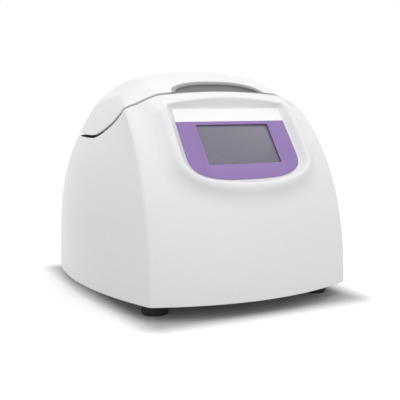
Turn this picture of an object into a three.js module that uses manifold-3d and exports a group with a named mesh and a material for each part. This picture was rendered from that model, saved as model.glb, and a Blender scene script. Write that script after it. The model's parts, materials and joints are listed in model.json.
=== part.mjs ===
import * as THREE from 'three';
import { mergeVertices } from 'three/addons/utils/BufferGeometryUtils.js';
import Module from 'manifold-3d';

// Low-speed bench centrifuge. Millimetres, +Z up, front towards -Y, origin under the centre of its footprint.
// "back" is measured rearwards from the front corners, "rise" is measured up from the housing's lower edge.

// Clearances and walls
const fit = 0.3;
const overrun = 6;
const wall = 3;
const seamGap = 2;

// Whole body
const footHeight = 16;
const frontBow = 29.5;
const frontBowTop = 20;
const cornerHalfWidth = 131;
const cornerDrawIn = 7.6;
const cornerDrawPower = 3;
const frontLean = 84;
const frontSquareShare = 0.606;
const sideHalfWidth = 157.7;
const sideStraightRise = 80;
const sideDrawIn = 51;
const sideDrawRise = 147;
const sideDrawPower = 1.95;
const widestBack = 155;
const rearLean = 75;
const rearSquareShare = 0.7;
const rearBow = 22.5;
const rearCornerHalfWidth = 125.5;
const rearCornerDrawIn = 13.3;
const frontEdgeBlend = 6;
const rearEdgeBlend = 44;

// Domed top
const ridgePanelRoom = 122.3;
const ridgeBack = 142.4;
const ridgeFall = 38.4;
const ridgeFrontSpan = 78;
const ridgeRearSpan = 150;
const ridgePower = 1.2;
const ridgeSoftShare = 0.3;
const crownFront = 6.7;
const crownMiddle = 10.2;
const humpHalfWidth = 85;
const shoulderSlopeFront = 0.51;
const shoulderSlopeMiddle = 0.82;
const topEdgeBlend = 5;
const humpEdgeBlend = 10;

// Seam between housing and lid, seen from the side
const seamRimBack = 75;
const seamRimPanelRoom = 98.5;
const seamHumpBack = 80.4;
const seamHumpPanelRoom = 91.2;
const seamCornerBack = 86.1;
const seamCornerPanelRoom = 77.8;
const seamSideBack = 170;
const seamSideRise = 173;
const seamSweepShares = [[0.13, 0.765], [0.213, 0.567], [0.344, 0.368], [0.523, 0.213], [0.76, 0.07]];

// Console on the front face, with a tilted panel
const panelTilt = THREE.MathUtils.degToRad(53);
const panelFootBack = 6.2;
const panelFootRise = 130.5;
const overlayHalfWidth = 73;
const overlayHeight = 96.4;
const overlayCornerHeight = 36;
const overlayThickness = 0.8;
const outlinePower = 2.5;
const floorMargin = 2;
const recessDepth = 12;
const recessFlare = 10;
const recessArch = 9;
const consoleHalfWidth = 84;
const consoleFlare = 4;
const consoleBelow = 13;
const consoleCornerHeight = 44;
const consoleFaceLow = 3;
const consoleFaceHigh = 7;
const consoleCrown = 7.5;
const consoleTop = 104;
const consoleTopFall = 3.5;
const consoleTopRun = 15;
const consoleDepth = 60;
const consoleEdgeBlend = 9;
const consoleBlend = 18;

// Display and its board
const screenWidth = 95.04;
const screenHeight = 53.86;
const screenFoot = 20;
const screenThickness = 2.2;
const screenSink = 0.4;
const screenLap = 1.2;
const moduleBorder = 5;
const moduleThickness = 6;
const boardThickness = 1.6;
const boardBorder = 8;
const panelBossRadius = 3;

// Inner deck, chamber bowl and gasket
const deckBelowSeam = 5;
const deckThickness = 2.5;
const deckTopBack = 80.7;
const deckTopDrop = 12;
const deckFootRoom = 8.5;
const chamberFrontRoom = 106.5;
const chamberRearRoom = 14.3;
const bowlRotorRoom = 4.8;
const bowlWall = 1.2;
const bowlHoleRadius = 15;
const bowlFlangeWidth = 6;
const gasketWidth = 4.6;
const gasketRoom = 5.6;

// Lid furniture
const linerThickness = 2.5;
const linerFrontBack = 86.3;
const linerFrontDrop = 15;
const linerDeckRoom = 3.8;
const linerRearRoom = 56.5;
const linerHalfWidth = 106;
const lidBossRadius = 5;
const lidBossX = 70;
const lidBossFrontBack = 122;
const lidBossRearRoom = 93.5;

// Finger grip in the lid's front edge
const gripHalfWidth = 61.6;
const gripDepth = 25;
const gripPower = 3.2;
const gripFloorDrop = 8;
const gripWall = 2.2;
const gripLip = 4;
const gripLipThickness = 2.6;

// Drive
const spindleRadius = 5;
const spindleTipRadius = 3.5;
const spindleShoulderRadius = 9;
const spindleShoulderStep = 3;
const spindleShoulderThickness = 4;
const motorRadius = 46;
const motorNeckRadius = 19;
const motorNeckHeight = 8;
const motorBowlRoom = 6;
const motorFloorThickness = 13;
const motorPlateRadius = 58;
const motorPlateRise = 20;
const motorPlateThickness = 3;
const isolatorRadius = 9;
const isolatorCircle = 49;
const isolatorCount = 3;
const bootWall = 1.5;
const bootHeight = 9;

// Rotor
const tubeCount = 8;
const tubeAngle = THREE.MathUtils.degToRad(28);
const sleeveRadius = 9.2;
const sleeveWall = 0.9;
const sleeveLength = 72;
const sleeveRim = 1.2;
const sleeveRimThickness = 2;
const sleeveTopRadius = 26.5;
const sleeveDeckRoom = 10;
const sleeveStandUp = 15;
const rotorSkirt = 1.6;
const rotorTopRadius = 45;
const rotorConeHeight = 35;
const rotorRimHeight = 12;
const rotorFloorRoom = 14;
const rotorHubRadius = 13;
const rotorDishDepth = 15;
const rotorDishRadius = 19;
const nutRadius = 9;
const nutHeight = 14;
const nutCapThickness = 2;

// Lid locks, one each side of the chamber
const lockX = 84;
const lockBack = 114;
const lockWidth = 38;
const lockDepth = 26;
const lockHeight = 26;
const lockInset = 9;
const strikeThickness = 3;
const strikeWidth = 13;
const strikeDrop = 24;
const strikeWindow = 4.6;
const strikeWindowDrop = 15.5;
const strikeSlotGap = 2.6;
const boltRadius = 3;
const boltLength = 18;
const boltRest = 2;

// Hinges at the rear
const hingeX = 45;
const hingeWidth = 38;
const hingeBarrelRadius = 4.5;
const hingePinRadius = 1.6;
const hingeRunning = 0.3;
const hingeStandOff = 0.9;
const hingeLeafLength = 24;
const hingeLeafThickness = 2.4;
const knuckleWidth = 9;
const springWireRadius = 0.6;
const springCurls = 5;
const springPitch = 1.7;
const springLegLength = 9;
const stepsPerCurl = 8;

// Base pan, feet and power electronics
const panRise = 2;
const panThickness = 2;
const footRadius = 15;
const footWaist = 13.5;
const footX = 108;
const footFrontBack = 33;
const footRearX = 103;
const footRearRoom = 53.5;
const supplyWidth = 52;
const supplyDepth = 96;
const supplyHeight = 34;
const supplyX = 92;
const supplyBack = 170;
const driveBoardWidth = 54;
const driveBoardDepth = 110;
const driveBoardRise = 12;
const driveSpacerRadius = 3.5;
const heatSinkHeight = 18;
const heatSinkWidth = 14;
const heatSinkLengthShare = 0.6;

// Pocket in the rear wall with the mains inlet, the switch and the fan
const pocketHalfWidth = 66;
const pocketFootRise = 10;
const pocketTopRise = 74;
const pocketDepth = 22.5;
const inletX = -42;
const inletRise = 47;
const inletWidth = 28;
const inletHeight = 22;
const inletFlange = 3;
const inletFlangeThickness = 2;
const inletBodyDepth = 20;
const inletSocketWidth = 22;
const inletSocketHeight = 15;
const inletSocketDepth = 15;
const inletPinWidth = 2;
const inletPinHeight = 4;
const inletPinLength = 11;
const inletPinSpacing = 6.5;
const fuseRise = 24;
const fuseWidth = 22;
const fuseHeight = 12;
const fuseFaceThickness = 2.5;
const fuseFaceLap = 2;
const fuseLength = 26;
const fuseFrameWall = 1.6;
const fuseTrayWall = 1.2;
const fuseRadius = 2.5;
const fuseGlassRadius = 2.2;
const fuseTubeLength = 20;
const fuseCapLength = 5;
const rockerX = -8;
const rockerRise = 41;
const rockerWidth = 12;
const rockerHeight = 24;
const rockerFrameLap = 2.5;
const rockerFrameThickness = 2;
const rockerBodyDepth = 16;
const rockerPinRadius = 1.5;
const rockerRadius = 15;
const rockerGap = 0.5;
const rockerTilt = THREE.MathUtils.degToRad(8);
const rockerTipShare = 0.62;
const rockerDipShare = 0.36;
const rockerFootShare = 0.82;
const fanX = 34;
const fanRise = 42;
const fanSize = 56;
const fanDepth = 15;
const fanBore = 26;
const fanHubRadius = 11;
const fanBladeCount = 7;
const fanBladeThickness = 1.4;
const fanBladeWidth = 11;
const fanBladePitch = THREE.MathUtils.degToRad(38);
const fanTipGap = 1.2;
const fanAxleRadius = 2;
const fanStrutWidth = 3;
const fanStrutThickness = 2.5;
const fanStrutInset = 1;
const fanAxleShare = 0.7;
const guardRings = 3;
const guardBar = 2;
const guardThickness = 1.6;

// Counts of flats on round pieces
const roundFine = 36;
const roundMedium = 20;
const roundSmall = 12;
const outerColumns = 76;
const outerRows = 14;
const innerColumns = 44;
const innerRows = 9;
const levelShares = [0, 0.35, 0.62, 0.8, 0.92];
const skinCentreBack = 170;
const skinCentreRise = 150;
const frontDensity = 0.6;

// Places that follow from the sizes above
const ridgeRise = panelFootRise + ridgePanelRoom;
const seamRimRise = panelFootRise + seamRimPanelRoom;
const seamHumpRise = panelFootRise + seamHumpPanelRoom;
const seamCornerRise = panelFootRise + seamCornerPanelRoom;
const deckTopRise = seamRimRise - deckTopDrop;
const linerFrontRise = seamRimRise - linerFrontDrop;
const gripFloorRise = seamRimRise - gripFloorDrop;
const deckRise = seamSideRise - deckBelowSeam;
const deckUnderRise = deckRise - deckThickness;
const linerRise = deckRise + gasketRoom;
const linerTopRise = linerRise + linerThickness;
const sleeveTopRise = deckRise - sleeveDeckRoom;
const rotorTopRise = sleeveTopRise - sleeveStandUp;
const rotorHubRise = rotorTopRise - rotorDishDepth;
const rotorShoulderRise = rotorTopRise - rotorConeHeight;
const rotorBottomRise = rotorShoulderRise - rotorRimHeight;
const spindleShoulderRise = rotorBottomRise + spindleShoulderStep;
const bowlFloorRise = rotorBottomRise - rotorFloorRoom;
const motorNeckRise = bowlFloorRise - motorBowlRoom;
const motorTopRise = motorNeckRise - motorNeckHeight;
const rotorRadius = sleeveTopRadius + sleeveLength * Math.sin(tubeAngle)
  + sleeveRadius * Math.cos(tubeAngle) + rotorSkirt;
const bowlRadius = rotorRadius + bowlRotorRoom + bowlWall;
const bowlFlangeRadius = bowlRadius + bowlFlangeWidth;
const chamberBack = chamberFrontRoom + bowlFlangeRadius;
const rearBack = chamberBack + bowlFlangeRadius + chamberRearRoom + leanAt(rearLean, rearSquareShare, deckRise);
const bodyDepth = rearBack + frontBow;
const frontCornerY = frontBow - bodyDepth / 2;
const deckFootBack = chamberFrontRoom - deckFootRoom;
const linerFootBack = deckFootBack + linerDeckRoom;
const linerRearBack = rearBack - linerRearRoom;
const lidBossRearBack = rearBack - lidBossRearRoom;
const footRearBack = rearBack - footRearRoom;
const pocketFloorBack = rearBack - pocketDepth;
const tiltCos = Math.cos(panelTilt);
const tiltSin = Math.sin(panelTilt);
const deckFlatRear = rearBack;
const chamberY = chamberBack + frontCornerY;
const panTopRise = panRise + panThickness;
const pocketFloorY = pocketFloorBack + frontCornerY;

const wasm = await Module();
wasm.setup();

const part = new THREE.Group();
const sides = [['left', -1], ['right', 1]];

function look(color, roughness, metalness = 0) {
  return new THREE.MeshStandardMaterial({ color, roughness, metalness });
}

const looks = {
  shell: look(0xf2f2f0, 0.35),
  grip: look(0x9a9a9c, 0.45),
  overlay: look(0x9478b8, 0.35),
  screen: look(0x83808f, 0.15),
  blackPlastic: look(0x1d1d1f, 0.5),
  liner: look(0xd9d9d6, 0.5),
  rubber: look(0x161616, 0.9),
  steel: look(0xb9bcc0, 0.3, 1),
  zinc: look(0x9fa3a6, 0.4, 1),
  rotor: look(0x8f9499, 0.35, 1),
  sleeve: look(0x2f5fa8, 0.5),
  board: look(0x1f5a34, 0.6),
  motor: look(0x2b2d30, 0.5, 0.5),
};

function add(name, geometry, material, group = part) {
  const piece = new THREE.Mesh(geometry, material);
  piece.name = name;
  group.add(piece);
  return piece;
}

// Solids, joins and cuts
function toSolid(geometry) {
  const bare = geometry.clone();
  bare.deleteAttribute('normal');
  bare.deleteAttribute('uv');
  const merged = mergeVertices(bare);
  return new wasm.Manifold(new wasm.Mesh({
    numProp: 3,
    vertProperties: new Float32Array(merged.attributes.position.array),
    triVerts: new Uint32Array(merged.index.array),
  }));
}

function toGeometry(solid) {
  const result = solid.getMesh();
  const geometry = new THREE.BufferGeometry();
  geometry.setAttribute('position', new THREE.BufferAttribute(new Float32Array(result.vertProperties), 3));
  geometry.setIndex(new THREE.BufferAttribute(new Uint32Array(result.triVerts), 1));
  return geometry;
}

function combine(method, first, others) {
  return toGeometry(others.reduce((solid, other) => solid[method](toSolid(other)), toSolid(first)));
}
const join = (first, ...others) => combine('add', first, others);
const cut = (first, ...others) => combine('subtract', first, others);
const common = (first, ...others) => combine('intersect', first, others);

// A closed mesh from rings with the same number of points, capped at both ends
function loft(rings) {
  const count = rings[0].length;
  const points = rings.flat();
  const faces = [];
  for (let ring = 0; ring + 1 < rings.length; ring += 1) {
    for (let i = 0; i < count; i += 1) {
      const a = ring * count + i;
      const b = ring * count + (i + 1) % count;
      faces.push(a, b, b + count, a, b + count, a + count);
    }
  }
  for (const [ring, flip] of [[rings[0], true], [rings[rings.length - 1], false]]) {
    const centre = new THREE.Vector3();
    ring.forEach((point) => centre.addScaledVector(point, 1 / count));
    const hub = points.push(centre) - 1;
    const start = flip ? 0 : (rings.length - 1) * count;
    for (let i = 0; i < count; i += 1) {
      const a = start + i;
      const b = start + (i + 1) % count;
      faces.push(...(flip ? [hub, b, a] : [hub, a, b]));
    }
  }
  const geometry = new THREE.BufferGeometry().setFromPoints(points);
  geometry.setIndex(faces);
  return outward(geometry);
}

// Turns a closed mesh's faces outwards
function outward(geometry) {
  const source = geometry.index ? geometry : mergeVertices(geometry);
  const position = source.attributes.position;
  const index = source.index.array;
  const corners = [new THREE.Vector3(), new THREE.Vector3(), new THREE.Vector3()];
  let volume = 0;
  for (let i = 0; i < index.length; i += 3) {
    corners.forEach((corner, k) => corner.fromBufferAttribute(position, index[i + k]));
    volume += corners[0].dot(corners[1].cross(corners[2]));
  }
  if (volume < 0) {
    for (let i = 0; i < index.length; i += 3) {
      [index[i], index[i + 1]] = [index[i + 1], index[i]];
    }
  }
  return source;
}

// Turned round the Z axis from a profile of [radius, height], foot first
function turned(profile, segments = roundMedium) {
  const points = profile.map(([radius, height]) => new THREE.Vector2(radius, height));
  const geometry = new THREE.LatheGeometry(points, segments);
  geometry.rotateX(Math.PI / 2);
  geometry.deleteAttribute('normal');
  geometry.deleteAttribute('uv');
  return outward(mergeVertices(geometry));
}

function rod(radius, length, segments = roundMedium) {
  return turned([[0, 0], [radius, 0], [radius, length], [0, length]], segments);
}

function tube(outer, inner, length, segments = roundMedium) {
  return turned([[inner, 0], [outer, 0], [outer, length], [inner, length], [inner, 0]], segments);
}

// A block standing on its bottom centre
function block(width, depth, height) {
  return new THREE.BoxGeometry(width, depth, height).translate(0, 0, height / 2);
}

// Extrudes [back, rise] points along X, centred on x
function sideProfile(points, width, x = 0) {
  const shape = new THREE.Shape(points.map(([back, rise]) => new THREE.Vector2(back, rise)));
  const geometry = new THREE.ExtrudeGeometry(shape, { depth: width, bevelEnabled: false });
  const axes = new THREE.Matrix4().makeBasis(
    new THREE.Vector3(0, 1, 0), new THREE.Vector3(0, 0, 1), new THREE.Vector3(1, 0, 0));
  geometry.applyMatrix4(axes);
  return geometry.translate(x - width / 2, frontCornerY, footHeight);
}

// Moves a geometry to a place given by x, back and rise
function at(geometry, x, back, rise) {
  return geometry.translate(x, back + frontCornerY, rise + footHeight);
}

// Lays a geometry built on Z along X or along Y
const alongX = (geometry) => geometry.rotateY(Math.PI / 2);
const alongY = (geometry) => geometry.rotateX(-Math.PI / 2);

// Outer surface
function softMax(a, b, blend) {
  const near = Math.max(blend - Math.abs(a - b), 0);
  return Math.max(a, b) + near * near / (4 * blend);
}
const softMin = (a, b, blend) => -softMax(-a, -b, blend);
const mix = (a, b, share) => a + (b - a) * share;
const clamp = THREE.MathUtils.clamp;

function leanAt(total, squareShare, rise) {
  const t = Math.max(rise, 0) / seamCornerRise;
  return total * (squareShare * t ** 2 + (1 - squareShare) * t ** 4);
}

function leanSlope(total, squareShare, rise) {
  const t = clamp(rise / seamCornerRise, 0, 1.1);
  return total * (2 * squareShare * t + 4 * (1 - squareShare) * t ** 3) / seamCornerRise;
}

function sideAt(back, rise) {
  const t = Math.max(rise, 0) / seamCornerRise;
  const drawn = Math.max(rise - sideStraightRise, 0) / sideDrawRise;
  const half = sideHalfWidth - sideDrawIn * drawn ** sideDrawPower;
  const inFront = back < widestBack;
  const corner = inFront
    ? cornerHalfWidth - cornerDrawIn * t ** cornerDrawPower
    : rearCornerHalfWidth - rearCornerDrawIn * t ** 2;
  const run = inFront
    ? widestBack - leanAt(frontLean, frontSquareShare, rise)
    : rearBack - leanAt(rearLean, rearSquareShare, rise) - rearBow - widestBack;
  return half - Math.max(half - corner, 0) * ((back - widestBack) / run) ** 2;
}

function outline(x, up, half, corner) {
  const low = Math.max(corner - up, 0);
  const scale = ((x / half) ** outlinePower + (low / corner) ** outlinePower) ** (1 / outlinePower);
  return Math.hypot(x, low) * (1 - 1 / Math.max(scale, 1e-3));
}

function consoleDistance(x, back, rise) {
  const up = (back - panelFootBack) * tiltCos + (rise - panelFootRise) * tiltSin;
  const out = (rise - panelFootRise) * tiltCos - (back - panelFootBack) * tiltSin;
  const share = clamp(up / consoleTop, 0, 1.3);
  const half = consoleHalfWidth + consoleFlare * up / consoleTop;
  const past = Math.max(up - consoleTop, 0) / consoleTopRun;
  const face = mix(consoleFaceLow, consoleFaceHigh, share) - consoleCrown * share * (x / half) ** 2
    - consoleTopFall * past ** 2;
  const edge = outline(x, up + consoleBelow, half, consoleCornerHeight);
  return Math.max(softMax(edge, out - face, consoleEdgeBlend), -out - consoleDepth);
}

function topDistance(x, back, rise) {
  const span = back < ridgeBack ? ridgeFrontSpan : ridgeRearSpan;
  const along = ((back - ridgeBack) / span) ** 2 + ridgeSoftShare ** 2;
  const ridge = ridgeRise - ridgeFall * (along ** (ridgePower / 2) - ridgeSoftShare ** ridgePower);
  const share = clamp((back - seamHumpBack) / (ridgeBack - seamHumpBack), 0, 1);
  const crown = mix(crownFront, crownMiddle, share);
  const slope = mix(shoulderSlopeFront, shoulderSlopeMiddle, share);
  const hump = rise - ridge + crown * (x / humpHalfWidth) ** 2;
  const shoulder = (rise - ridge + crown + slope * (x - humpHalfWidth)) / Math.hypot(1, slope);
  return softMax(hump, shoulder, humpEdgeBlend);
}

// Signed distance to the outer surface, negative inside
function skin(signedX, y, z) {
  const x = Math.abs(signedX);
  const back = y - frontCornerY;
  const rise = z - footHeight;
  const t = clamp(rise / seamCornerRise, 0, 1);
  const corner = cornerHalfWidth - cornerDrawIn * (Math.max(rise, 0) / seamCornerRise) ** cornerDrawPower;
  const frontAt = leanAt(frontLean, frontSquareShare, rise)
    - mix(frontBow, frontBowTop, t) * (1 - (x / corner) ** 2);
  const rearAt = rearBack - leanAt(rearLean, rearSquareShare, rise) - rearBow * (x / cornerHalfWidth) ** 2;
  const drawn = Math.max(rise - sideStraightRise, 0) / sideDrawRise;
  const sideSlope = sideDrawIn * sideDrawPower / sideDrawRise * drawn ** (sideDrawPower - 1);
  const front = (frontAt - back) / Math.hypot(1, leanSlope(frontLean, frontSquareShare, rise));
  const side = (x - sideAt(back, rise)) / Math.hypot(1, sideSlope);
  const rear = (back - rearAt) / Math.hypot(1, leanSlope(rearLean, rearSquareShare, rise));
  const walls = softMax(softMax(front, side, frontEdgeBlend), rear, rearEdgeBlend);
  const body = softMin(walls, consoleDistance(x, back, rise), consoleBlend);
  return softMax(body, topDistance(x, back, rise), topEdgeBlend);
}

function skinPoint(origin, direction, inset) {
  let near = 0;
  let far = bodyDepth;
  const point = new THREE.Vector3();
  for (let i = 0; i < 34; i += 1) {
    const middle = (near + far) / 2;
    point.copy(origin).addScaledVector(direction, middle);
    if (skin(point.x, point.y, point.z) + inset < 0) {
      near = middle;
    } else {
      far = middle;
    }
  }
  return point.clone();
}

// The space inside the outer surface, less an inset, from a given rise up
function skinSpace(inset, footRise = 0, columns = innerColumns, rows = innerRows) {
  const directions = [];
  for (let i = 0; i < columns; i += 1) {
    const turn = 2 * Math.PI * i / columns;
    const angle = turn - frontDensity * Math.sin(turn);
    directions.push(new THREE.Vector3(Math.sin(angle), -Math.cos(angle), 0));
  }
  const ring = (rise, climb) => directions.map((flat) => {
    const direction = flat.clone().multiplyScalar(Math.cos(climb)).setZ(Math.sin(climb));
    return skinPoint(new THREE.Vector3(0, skinCentreBack + frontCornerY, rise + footHeight), direction, inset);
  });
  const rings = levelShares.map((share) => ring(mix(footRise, skinCentreRise, share), 0));
  for (let i = 0; i < rows; i += 1) {
    rings.push(ring(skinCentreRise, Math.PI / 2 * i / rows));
  }
  return loft(rings);
}

// What lies behind and above the seam, drawn back by a gap
function lidSpace(gap) {
  const sweep = seamSweepShares.map(([along, up]) => [
    mix(seamCornerBack, seamSideBack, along) + gap, mix(seamSideRise, seamCornerRise, up) + gap]);
  return sideProfile([
    [seamRimBack + gap, seamRimRise + bodyDepth / 2],
    [seamRimBack + gap, seamRimRise],
    [seamHumpBack + gap, seamHumpRise],
    [seamCornerBack + gap, seamCornerRise],
    ...sweep,
    [seamSideBack + gap, seamSideRise + gap],
    [bodyDepth, seamSideRise + gap],
    [bodyDepth, seamRimRise + bodyDepth / 2],
  ], 2 * bodyDepth);
}

// Things placed on the tilted panel: X across, Y up the slope, Z out of it
function onPanel(geometry) {
  return at(geometry.rotateX(panelTilt), 0, panelFootBack, panelFootRise);
}

// The panel's outline, flat at the top with an arch, rounded at the foot
function panelRing(grow, arch, out) {
  const half = overlayHalfWidth + grow;
  const corner = overlayCornerHeight + grow;
  const points = [];
  const steps = 12;
  for (let i = 0; i <= 2 * steps; i += 1) {
    const angle = Math.PI * i / (2 * steps);
    const c = Math.cos(angle);
    points.push(new THREE.Vector3(
      -half * Math.sign(c) * Math.abs(c) ** (2 / outlinePower),
      corner - grow - corner * Math.sin(angle) ** (2 / outlinePower), out));
  }
  for (let i = 0; i <= steps; i += 1) {
    const share = 1 - 2 * i / steps;
    points.push(new THREE.Vector3(
      half * share, overlayHeight + Math.min(grow, floorMargin) + arch * (1 - share ** 2), out));
  }
  return points;
}

const outerSpace = skinSpace(0, 0, outerColumns, outerRows);
const grownSpace = skinSpace(-fit, -overrun, outerColumns, outerRows);
const beforePanel = () => onPanel(new THREE.BoxGeometry(bodyDepth, 2 * bodyDepth, bodyDepth)
  .translate(0, 0, bodyDepth / 2 - wall));

// Housing
function housingShell() {
  const inside = cut(skinSpace(wall, -overrun), beforePanel());
  const shell = cut(outerSpace, inside, lidSpace(0));
  const recess = onPanel(loft([
    panelRing(floorMargin, 0, 0),
    panelRing(floorMargin + recessFlare, recessArch, recessDepth),
  ]));
  const window = onPanel(new THREE.BoxGeometry(screenWidth + 2 * screenLap + 2 * fit,
    screenHeight + 2 * screenLap + 2 * fit, 2 * overrun).translate(0, screenFoot + screenHeight / 2, 0));
  const bosses = [-1, 1].map((side) => onPanel(rod(panelBossRadius, moduleThickness + wall / 2, roundSmall)
    .translate(side * (screenWidth / 2 + moduleBorder + 2 * panelBossRadius),
      screenFoot + screenHeight / 2, -wall - moduleThickness)));
  const pocketWidth = 2 * pocketHalfWidth;
  const pocketHeight = pocketTopRise - pocketFootRise;
  const pocketRun = rearBack - pocketFloorBack;
  const pocketOuter = common(outerSpace, at(block(pocketWidth + 2 * wall, pocketRun + wall, pocketHeight + 2 * wall),
    0, pocketFloorBack + (pocketRun - wall) / 2, pocketFootRise - wall));
  const pocketInner = at(block(pocketWidth, pocketRun + overrun, pocketHeight),
    0, pocketFloorBack + (pocketRun + overrun) / 2, pocketFootRise);
  const hole = (width, height, x, rise) => at(block(width + 2 * fit, 4 * wall, height + 2 * fit),
    x, pocketFloorBack, rise - height / 2 - fit);
  return cut(join(shell, ...bosses, pocketOuter), pocketInner, recess, window,
    hole(inletWidth, inletHeight, inletX, inletRise),
    hole(fuseWidth, fuseHeight, inletX, fuseRise),
    hole(rockerWidth + 2 * rockerFrameLap / 2, rockerHeight + rockerFrameLap, rockerX, rockerRise),
    at(alongY(rod(fanBore, 4 * wall)), fanX, pocketFloorBack - 2 * wall, fanRise));
}

const housing = housingShell();
add('housing_shell', housing, looks.shell);

function basePan() {
  return common(skinSpace(wall + fit, -overrun),
    at(block(bodyDepth, 2 * bodyDepth, panThickness), 0, 0, panRise));
}
add('base_pan', basePan(), looks.zinc);

const footTop = panRise + footHeight - fit;
for (const [side, sign] of sides) {
  for (const [end, x, back] of [['front', footX, footFrontBack], ['rear', footRearX, footRearBack]]) {
    const foot = turned([[0, 0], [footRadius, 0], [footWaist, footTop], [0, footTop]]);
    add(`foot_${end}_${side}`, at(foot, sign * x, back, -footHeight), looks.rubber);
  }
}

// Control panel
function overlay() {
  const sheet = loft([panelRing(0, 0, fit), panelRing(0, 0, fit + overlayThickness)]);
  const window = new THREE.BoxGeometry(screenWidth, screenHeight, overrun)
    .translate(0, screenFoot + screenHeight / 2, 0);
  return onPanel(cut(sheet, window));
}
add('control_overlay', overlay(), looks.overlay);

const screenMiddle = screenFoot + screenHeight / 2;
const moduleOut = -wall - fit - moduleThickness;
add('display_screen', onPanel(block(screenWidth + 2 * screenLap, screenHeight + 2 * screenLap, screenThickness)
  .translate(0, screenMiddle, -screenSink - screenThickness)), looks.screen);
add('display_module', onPanel(block(screenWidth + 2 * moduleBorder, screenHeight + 2 * moduleBorder, moduleThickness)
  .translate(0, screenMiddle, moduleOut)), looks.zinc);
add('control_board', onPanel(block(screenWidth + 2 * moduleBorder + 4 * boardBorder,
  screenHeight + 2 * boardBorder, boardThickness)
  .translate(0, screenMiddle, moduleOut - fit - boardThickness)), looks.board);

// Deck, bowl and gasket
function innerDeck() {
  const sheet = sideProfile([
    [deckTopBack, deckTopRise], [deckFootBack, deckRise], [deckFlatRear, deckRise],
    [deckFlatRear, deckUnderRise], [deckFootBack - deckThickness, deckUnderRise],
    [deckTopBack - deckThickness, deckTopRise],
  ], bodyDepth);
  const strikeSlots = sides.map(([, sign]) => at(block(
    strikeThickness + 2 * strikeSlotGap, strikeWidth + 2 * strikeSlotGap, 4 * deckThickness),
    sign * lockX, lockBack, deckRise - 2 * deckThickness));
  const room = cut(skinSpace(wall + fit), beforePanel());
  return cut(common(sheet, room), at(rod(bowlRadius + fit, 4 * deckThickness, roundFine),
    0, chamberBack, deckRise - 2 * deckThickness), ...strikeSlots);
}
add('inner_deck', innerDeck(), looks.liner);

const flangeRise = deckRise + fit;
add('chamber_bowl', at(turned([
  [bowlHoleRadius, bowlFloorRise], [bowlRadius, bowlFloorRise], [bowlRadius, flangeRise],
  [bowlFlangeRadius, flangeRise], [bowlFlangeRadius, flangeRise + bowlWall],
  [bowlRadius - bowlWall, flangeRise + bowlWall], [bowlRadius - bowlWall, bowlFloorRise + bowlWall],
  [bowlHoleRadius, bowlFloorRise + bowlWall], [bowlHoleRadius, bowlFloorRise],
], roundFine), 0, chamberBack, 0), looks.steel);
add('chamber_gasket', at(tube(bowlFlangeRadius + fit + gasketWidth, bowlFlangeRadius + fit,
  linerRise - deckRise - 2 * fit, roundFine), 0, chamberBack, deckRise + fit), looks.rubber);

// Motor on its isolators, spindle and boot
const motorY = chamberBack;
const plateTopRise = motorPlateRise + motorPlateThickness;
add('motor_plate', at(rod(motorPlateRadius, motorPlateThickness, roundFine), 0, motorY, motorPlateRise), looks.zinc);
for (let i = 0; i < isolatorCount; i += 1) {
  const angle = 2 * Math.PI * i / isolatorCount;
  const isolator = rod(isolatorRadius, motorPlateRise - panTopRise - 2 * fit, roundSmall);
  add(`motor_isolator_${i + 1}`, at(isolator, isolatorCircle * Math.sin(angle),
    motorY - isolatorCircle * Math.cos(angle), panTopRise + fit), looks.rubber);
}
const boreRadius = spindleRadius + fit;
const boreFoot = plateTopRise + motorFloorThickness;
add('drive_motor', at(turned([
  [0, plateTopRise + fit], [motorRadius, plateTopRise + fit], [motorRadius, motorTopRise],
  [motorNeckRadius, motorTopRise], [motorNeckRadius, motorNeckRise], [boreRadius, motorNeckRise],
  [boreRadius, boreFoot], [0, boreFoot],
], roundFine), 0, motorY, 0), looks.motor);
const bootFoot = motorNeckRise + fit;
add('shaft_boot', at(turned([
  [bowlHoleRadius - fit - bootWall, bootFoot], [bowlHoleRadius + bootWall, bootFoot],
  [bowlHoleRadius + bootWall, bowlFloorRise - fit], [bowlHoleRadius - fit, bowlFloorRise - fit],
  [bowlHoleRadius - fit, bootFoot + bootHeight], [bowlHoleRadius - fit - bootWall, bootFoot + bootHeight],
  [bowlHoleRadius - fit - bootWall, bootFoot],
]), 0, motorY, 0), looks.rubber);

const shoulderTop = spindleShoulderRise;
const spindleTop = rotorHubRise + nutHeight - nutCapThickness - fit;
add('spindle', at(turned([
  [0, boreFoot + fit], [spindleRadius, boreFoot + fit],
  [spindleRadius, shoulderTop - spindleShoulderThickness],
  [spindleShoulderRadius, shoulderTop - spindleShoulderThickness], [spindleShoulderRadius, shoulderTop],
  [spindleRadius, shoulderTop], [spindleRadius, rotorHubRise - fit], [spindleTipRadius, rotorHubRise - fit],
  [spindleTipRadius, spindleTop], [0, spindleTop],
]), 0, motorY, 0), looks.steel);

// Rotor with slanted bores, its tube sleeves and the nut on top
function slanted(geometry, index) {
  const angle = 2 * Math.PI * (index + 1 / 2) / tubeCount;
  geometry.rotateY(tubeAngle);
  geometry.translate(-sleeveTopRadius, 0, 0);
  geometry.rotateZ(angle);
  return at(geometry, 0, chamberBack, sleeveTopRise);
}

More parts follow.
